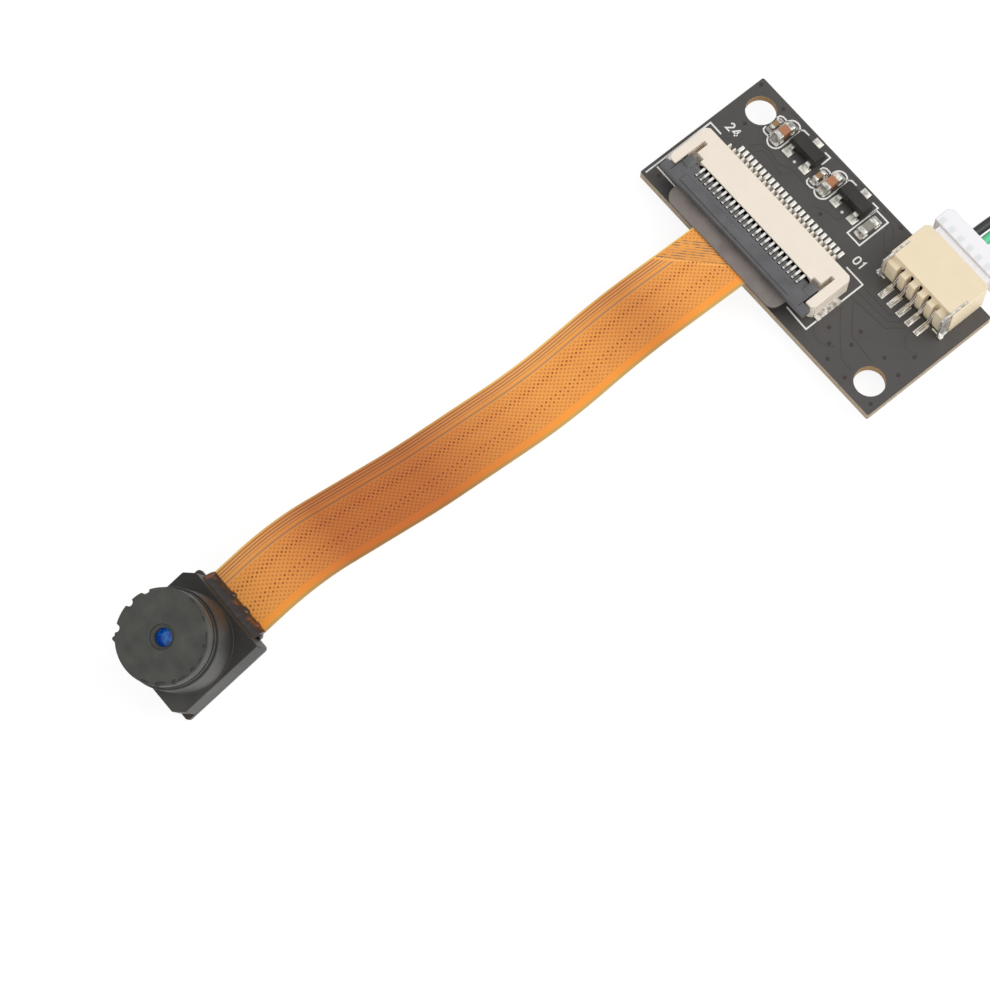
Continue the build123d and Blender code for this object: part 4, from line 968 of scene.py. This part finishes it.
# %% [markdown]
# The head is tilted, so its details are placed in its own frame: two directions across its flat front and one
# out of it. A matrix holds the three directions, the head's place and the step from millimetres to metres.
# %% The head's own frame
HEAD_TILT = radians(23.3)
HEAD_PLACE = Vector((-4.941, -57.155, 1.013))
head_right = Vector((cos(STRIP_YAW), -sin(STRIP_YAW), 0))
head_up = Vector((sin(STRIP_YAW) * cos(HEAD_TILT), cos(STRIP_YAW) * cos(HEAD_TILT), sin(HEAD_TILT)))
head_out = head_right.cross(head_up)
head_axes = Matrix((head_right, head_up, head_out)).transposed().to_4x4()
head_frame = Matrix.Translation(HEAD_PLACE * MM) @ head_axes @ Matrix.Scale(MM, 4)
print("the head looks along", [round(part, 2) for part in head_out])

# %% [markdown]
# Drops of glue were dabbed round the flange, where they keep the lens from turning, and along the edge where
# the holder sits on the flexible circuit. A drop is a ball, flattened and turned, and drops that overlap look
# like one bead. Each ball's place and size are applied to its mesh before all are joined, so the joined piece
# sits at the origin.
# %% Drops of glue on the head
FLANGE_DROP_LEVEL, FLANGE_DROP_HEIGHT = 7.25, 0.1
HOLDER_EDGE, HOLDER_DROP_LEVEL = 4.0, 0.1
GLUE_ANGLE = 60


def drops_of_glue(name, drops, finish):
    """One piece with a flattened ball for each drop, given by its place, turn and half sizes on the head."""
    balls = []
    for place, turned, sizes in drops:
        bpy.ops.object.select_all(action="DESELECT")
        bpy.ops.mesh.primitive_ico_sphere_add(subdivisions=3, radius=1, calc_uvs=False)
        ball = bpy.context.object
        turn = Matrix.Rotation(radians(turned), 4, "Z")
        ball.matrix_world = head_frame @ Matrix.Translation(place) @ turn @ Matrix.Diagonal((*sizes, 1))
        bpy.ops.object.transform_apply(location=True, rotation=True, scale=True)
        balls.append(ball)
    smoothed(finished(joined(balls, name), finish), GLUE_ANGLE)


rim_drops = [
    (-62, 3.42, 0.5, 0.12), (-45, 3.44, 0.3, 0.2), (-40, 3.36, 0.5, 0.13), (-24, 3.42, 0.26, 0.24),
    (-12, 3.46, 0.6, 0.12), (4, 3.4, 0.3, 0.2), (18, 3.46, 0.42, 0.12), (36, 3.4, 0.24, 0.22),
    (47, 3.46, 0.5, 0.12), (70, 3.44, 0.3, 0.14), (96, 3.48, 0.5, 0.1),
]
flange_drops = []
for angle, distance, length, width in rim_drops:
    place = (distance * cos(radians(angle)), distance * sin(radians(angle)), FLANGE_DROP_LEVEL)
    flange_drops.append((place, angle + 90, (length, width, FLANGE_DROP_HEIGHT)))
drops_of_glue("flange_glue_drops", flange_drops, black_glue)
edge_drops = [
    (-2.75, 0.3, 0.45, 0.28, 0.44, 30), (-2.2, 0.44, 0.8, 0.3, 0.5, -6), (-1.35, 0.4, 0.75, 0.36, 0.56, 9),
    (-0.7, 0.6, 0.34, 0.3, 0.36, 20), (-0.1, 0.38, 0.9, 0.34, 0.5, -5), (0.75, 0.5, 0.6, 0.36, 0.46, 8),
    (1.5, 0.42, 0.8, 0.32, 0.54, -8), (2.2, 0.5, 0.45, 0.3, 0.42, 14), (2.75, 0.3, 0.5, 0.3, 0.56, -28),
]
holder_drops = [((x, HOLDER_EDGE + out, HOLDER_DROP_LEVEL), turned, (length, width, height))
                for x, out, length, width, height, turned in edge_drops]
drops_of_glue("holder_glue_drops", holder_drops, amber_glue)
print("glue drops", len(flange_drops) + len(holder_drops))

# %% [markdown]
# The module lies on a plain white table under soft light. The table looks white to the camera and in
# reflections, but keeps a part of the shadow that the module casts, so that the part doesn't float. It lies a
# hair below the module, because two faces in one plane flicker, and its back is clear, so that the underside
# can be looked at.
# %% Floor
FLOOR_SIZE, FLOOR_GAP = 6, 0.01
GLOW, GLOW_SHARE = 1.1, 0.8
bpy.ops.object.select_all(action="DESELECT")
bpy.ops.mesh.primitive_plane_add(size=FLOOR_SIZE, location=(0, 0, REST_LEVEL - FLOOR_GAP * MM))
floor = bpy.context.object
floor.name = "table_top"
table = Finish("white_table", (0.9, 0.9, 0.9), 0.8)
rays = table.node("ShaderNodeLightPath")
seen = Value(table, rays.outputs["Is Camera Ray"])
for ray in ("Is Glossy Ray", "Is Transmission Ray"):
    seen = seen.at_least(Value(table, rays.outputs[ray]))
glow = table.node("ShaderNodeEmission", {}, {"Color": WHITE, "Strength": GLOW})
lit = table.shader.outputs[0]
both = table.node("ShaderNodeMixShader", {}, {0: seen * GLOW_SHARE, 1: lit, 2: glow.outputs[0]})
clear = table.node("ShaderNodeBsdfTransparent")
turned_away = table.node("ShaderNodeNewGeometry").outputs["Backfacing"]
one_sided = table.node("ShaderNodeMixShader", {},
                       {0: turned_away, 1: both.outputs[0], 2: clear.outputs[0]})
table.feed(table.tree.nodes["Material Output"].inputs["Surface"], one_sided.outputs[0])
floor.data.materials.append(table.material)
print("table top at", round(floor.location.z / MM, 2), "mm")

# %% [markdown]
# The light is that of a product photograph, and its softest part is the sky. A sky of one colour would light
# every side alike, so this one is brighter above than at the horizon, by a ramp over the height of each
# direction.
# %% Sky
SKY_START, SKY_END = -0.1, 0.9
HORIZON_LIGHT, ZENITH_LIGHT = 0.3, 0.8
world = bpy.data.worlds.new("studio")
world.use_nodes = True
bpy.context.scene.world = world
sky = world.node_tree.nodes["Background"]
sky.inputs["Color"].default_value = WHITE
sky_direction = world.node_tree.nodes.new("ShaderNodeTexCoord")
sky_parts = world.node_tree.nodes.new("ShaderNodeSeparateXYZ")
ramp = world.node_tree.nodes.new("ShaderNodeMapRange")
for socket, value in zip(ramp.inputs[1:5], (SKY_START, SKY_END, HORIZON_LIGHT, ZENITH_LIGHT)):
    socket.default_value = value
world.node_tree.links.new(sky_direction.outputs["Generated"], sky_parts.inputs[0])
world.node_tree.links.new(sky_parts.outputs["Z"], ramp.inputs[0])
world.node_tree.links.new(ramp.outputs[0], sky.inputs["Strength"])
print("sky from", HORIZON_LIGHT, "to", ZENITH_LIGHT)

# %% [markdown]
# Two large soft lamps give the shapes their shading: a strong one on the picture's right side and a weaker
# one on its lower side. They stand away from the direction in which flat faces mirror the camera, so that
# dark surfaces stay dark.
# %% Lamps
LAMP_DISTANCE = 0.6
LIT_PLACE = Vector((0, -25, 0)) * MM


def lamp(name, aside, upward, towards, size, power):
    """A square soft lamp in one direction, as the camera sees it, that points at the flexible circuit."""
    way = (aside * right + upward * up + towards * back).normalized()
    data = bpy.data.lights.new(name, "AREA")
    data.size = size
    data.energy = power
    made = bpy.data.objects.new(name, data)
    bpy.context.scene.collection.objects.link(made)
    made.location = LIT_PLACE + way * LAMP_DISTANCE
    made.rotation_mode = "QUATERNION"
    made.rotation_quaternion = way.to_track_quat("Z", "Y")


lamp("key_lamp", 1.0, 0.3, 0.8, size=0.45, power=1.6)
lamp("fill_lamp", -0.1, -0.9, 0.8, size=0.6, power=1.2)
bpy.context.scene.view_settings.view_transform = "Standard"
print("lamps", len(bpy.data.lights))
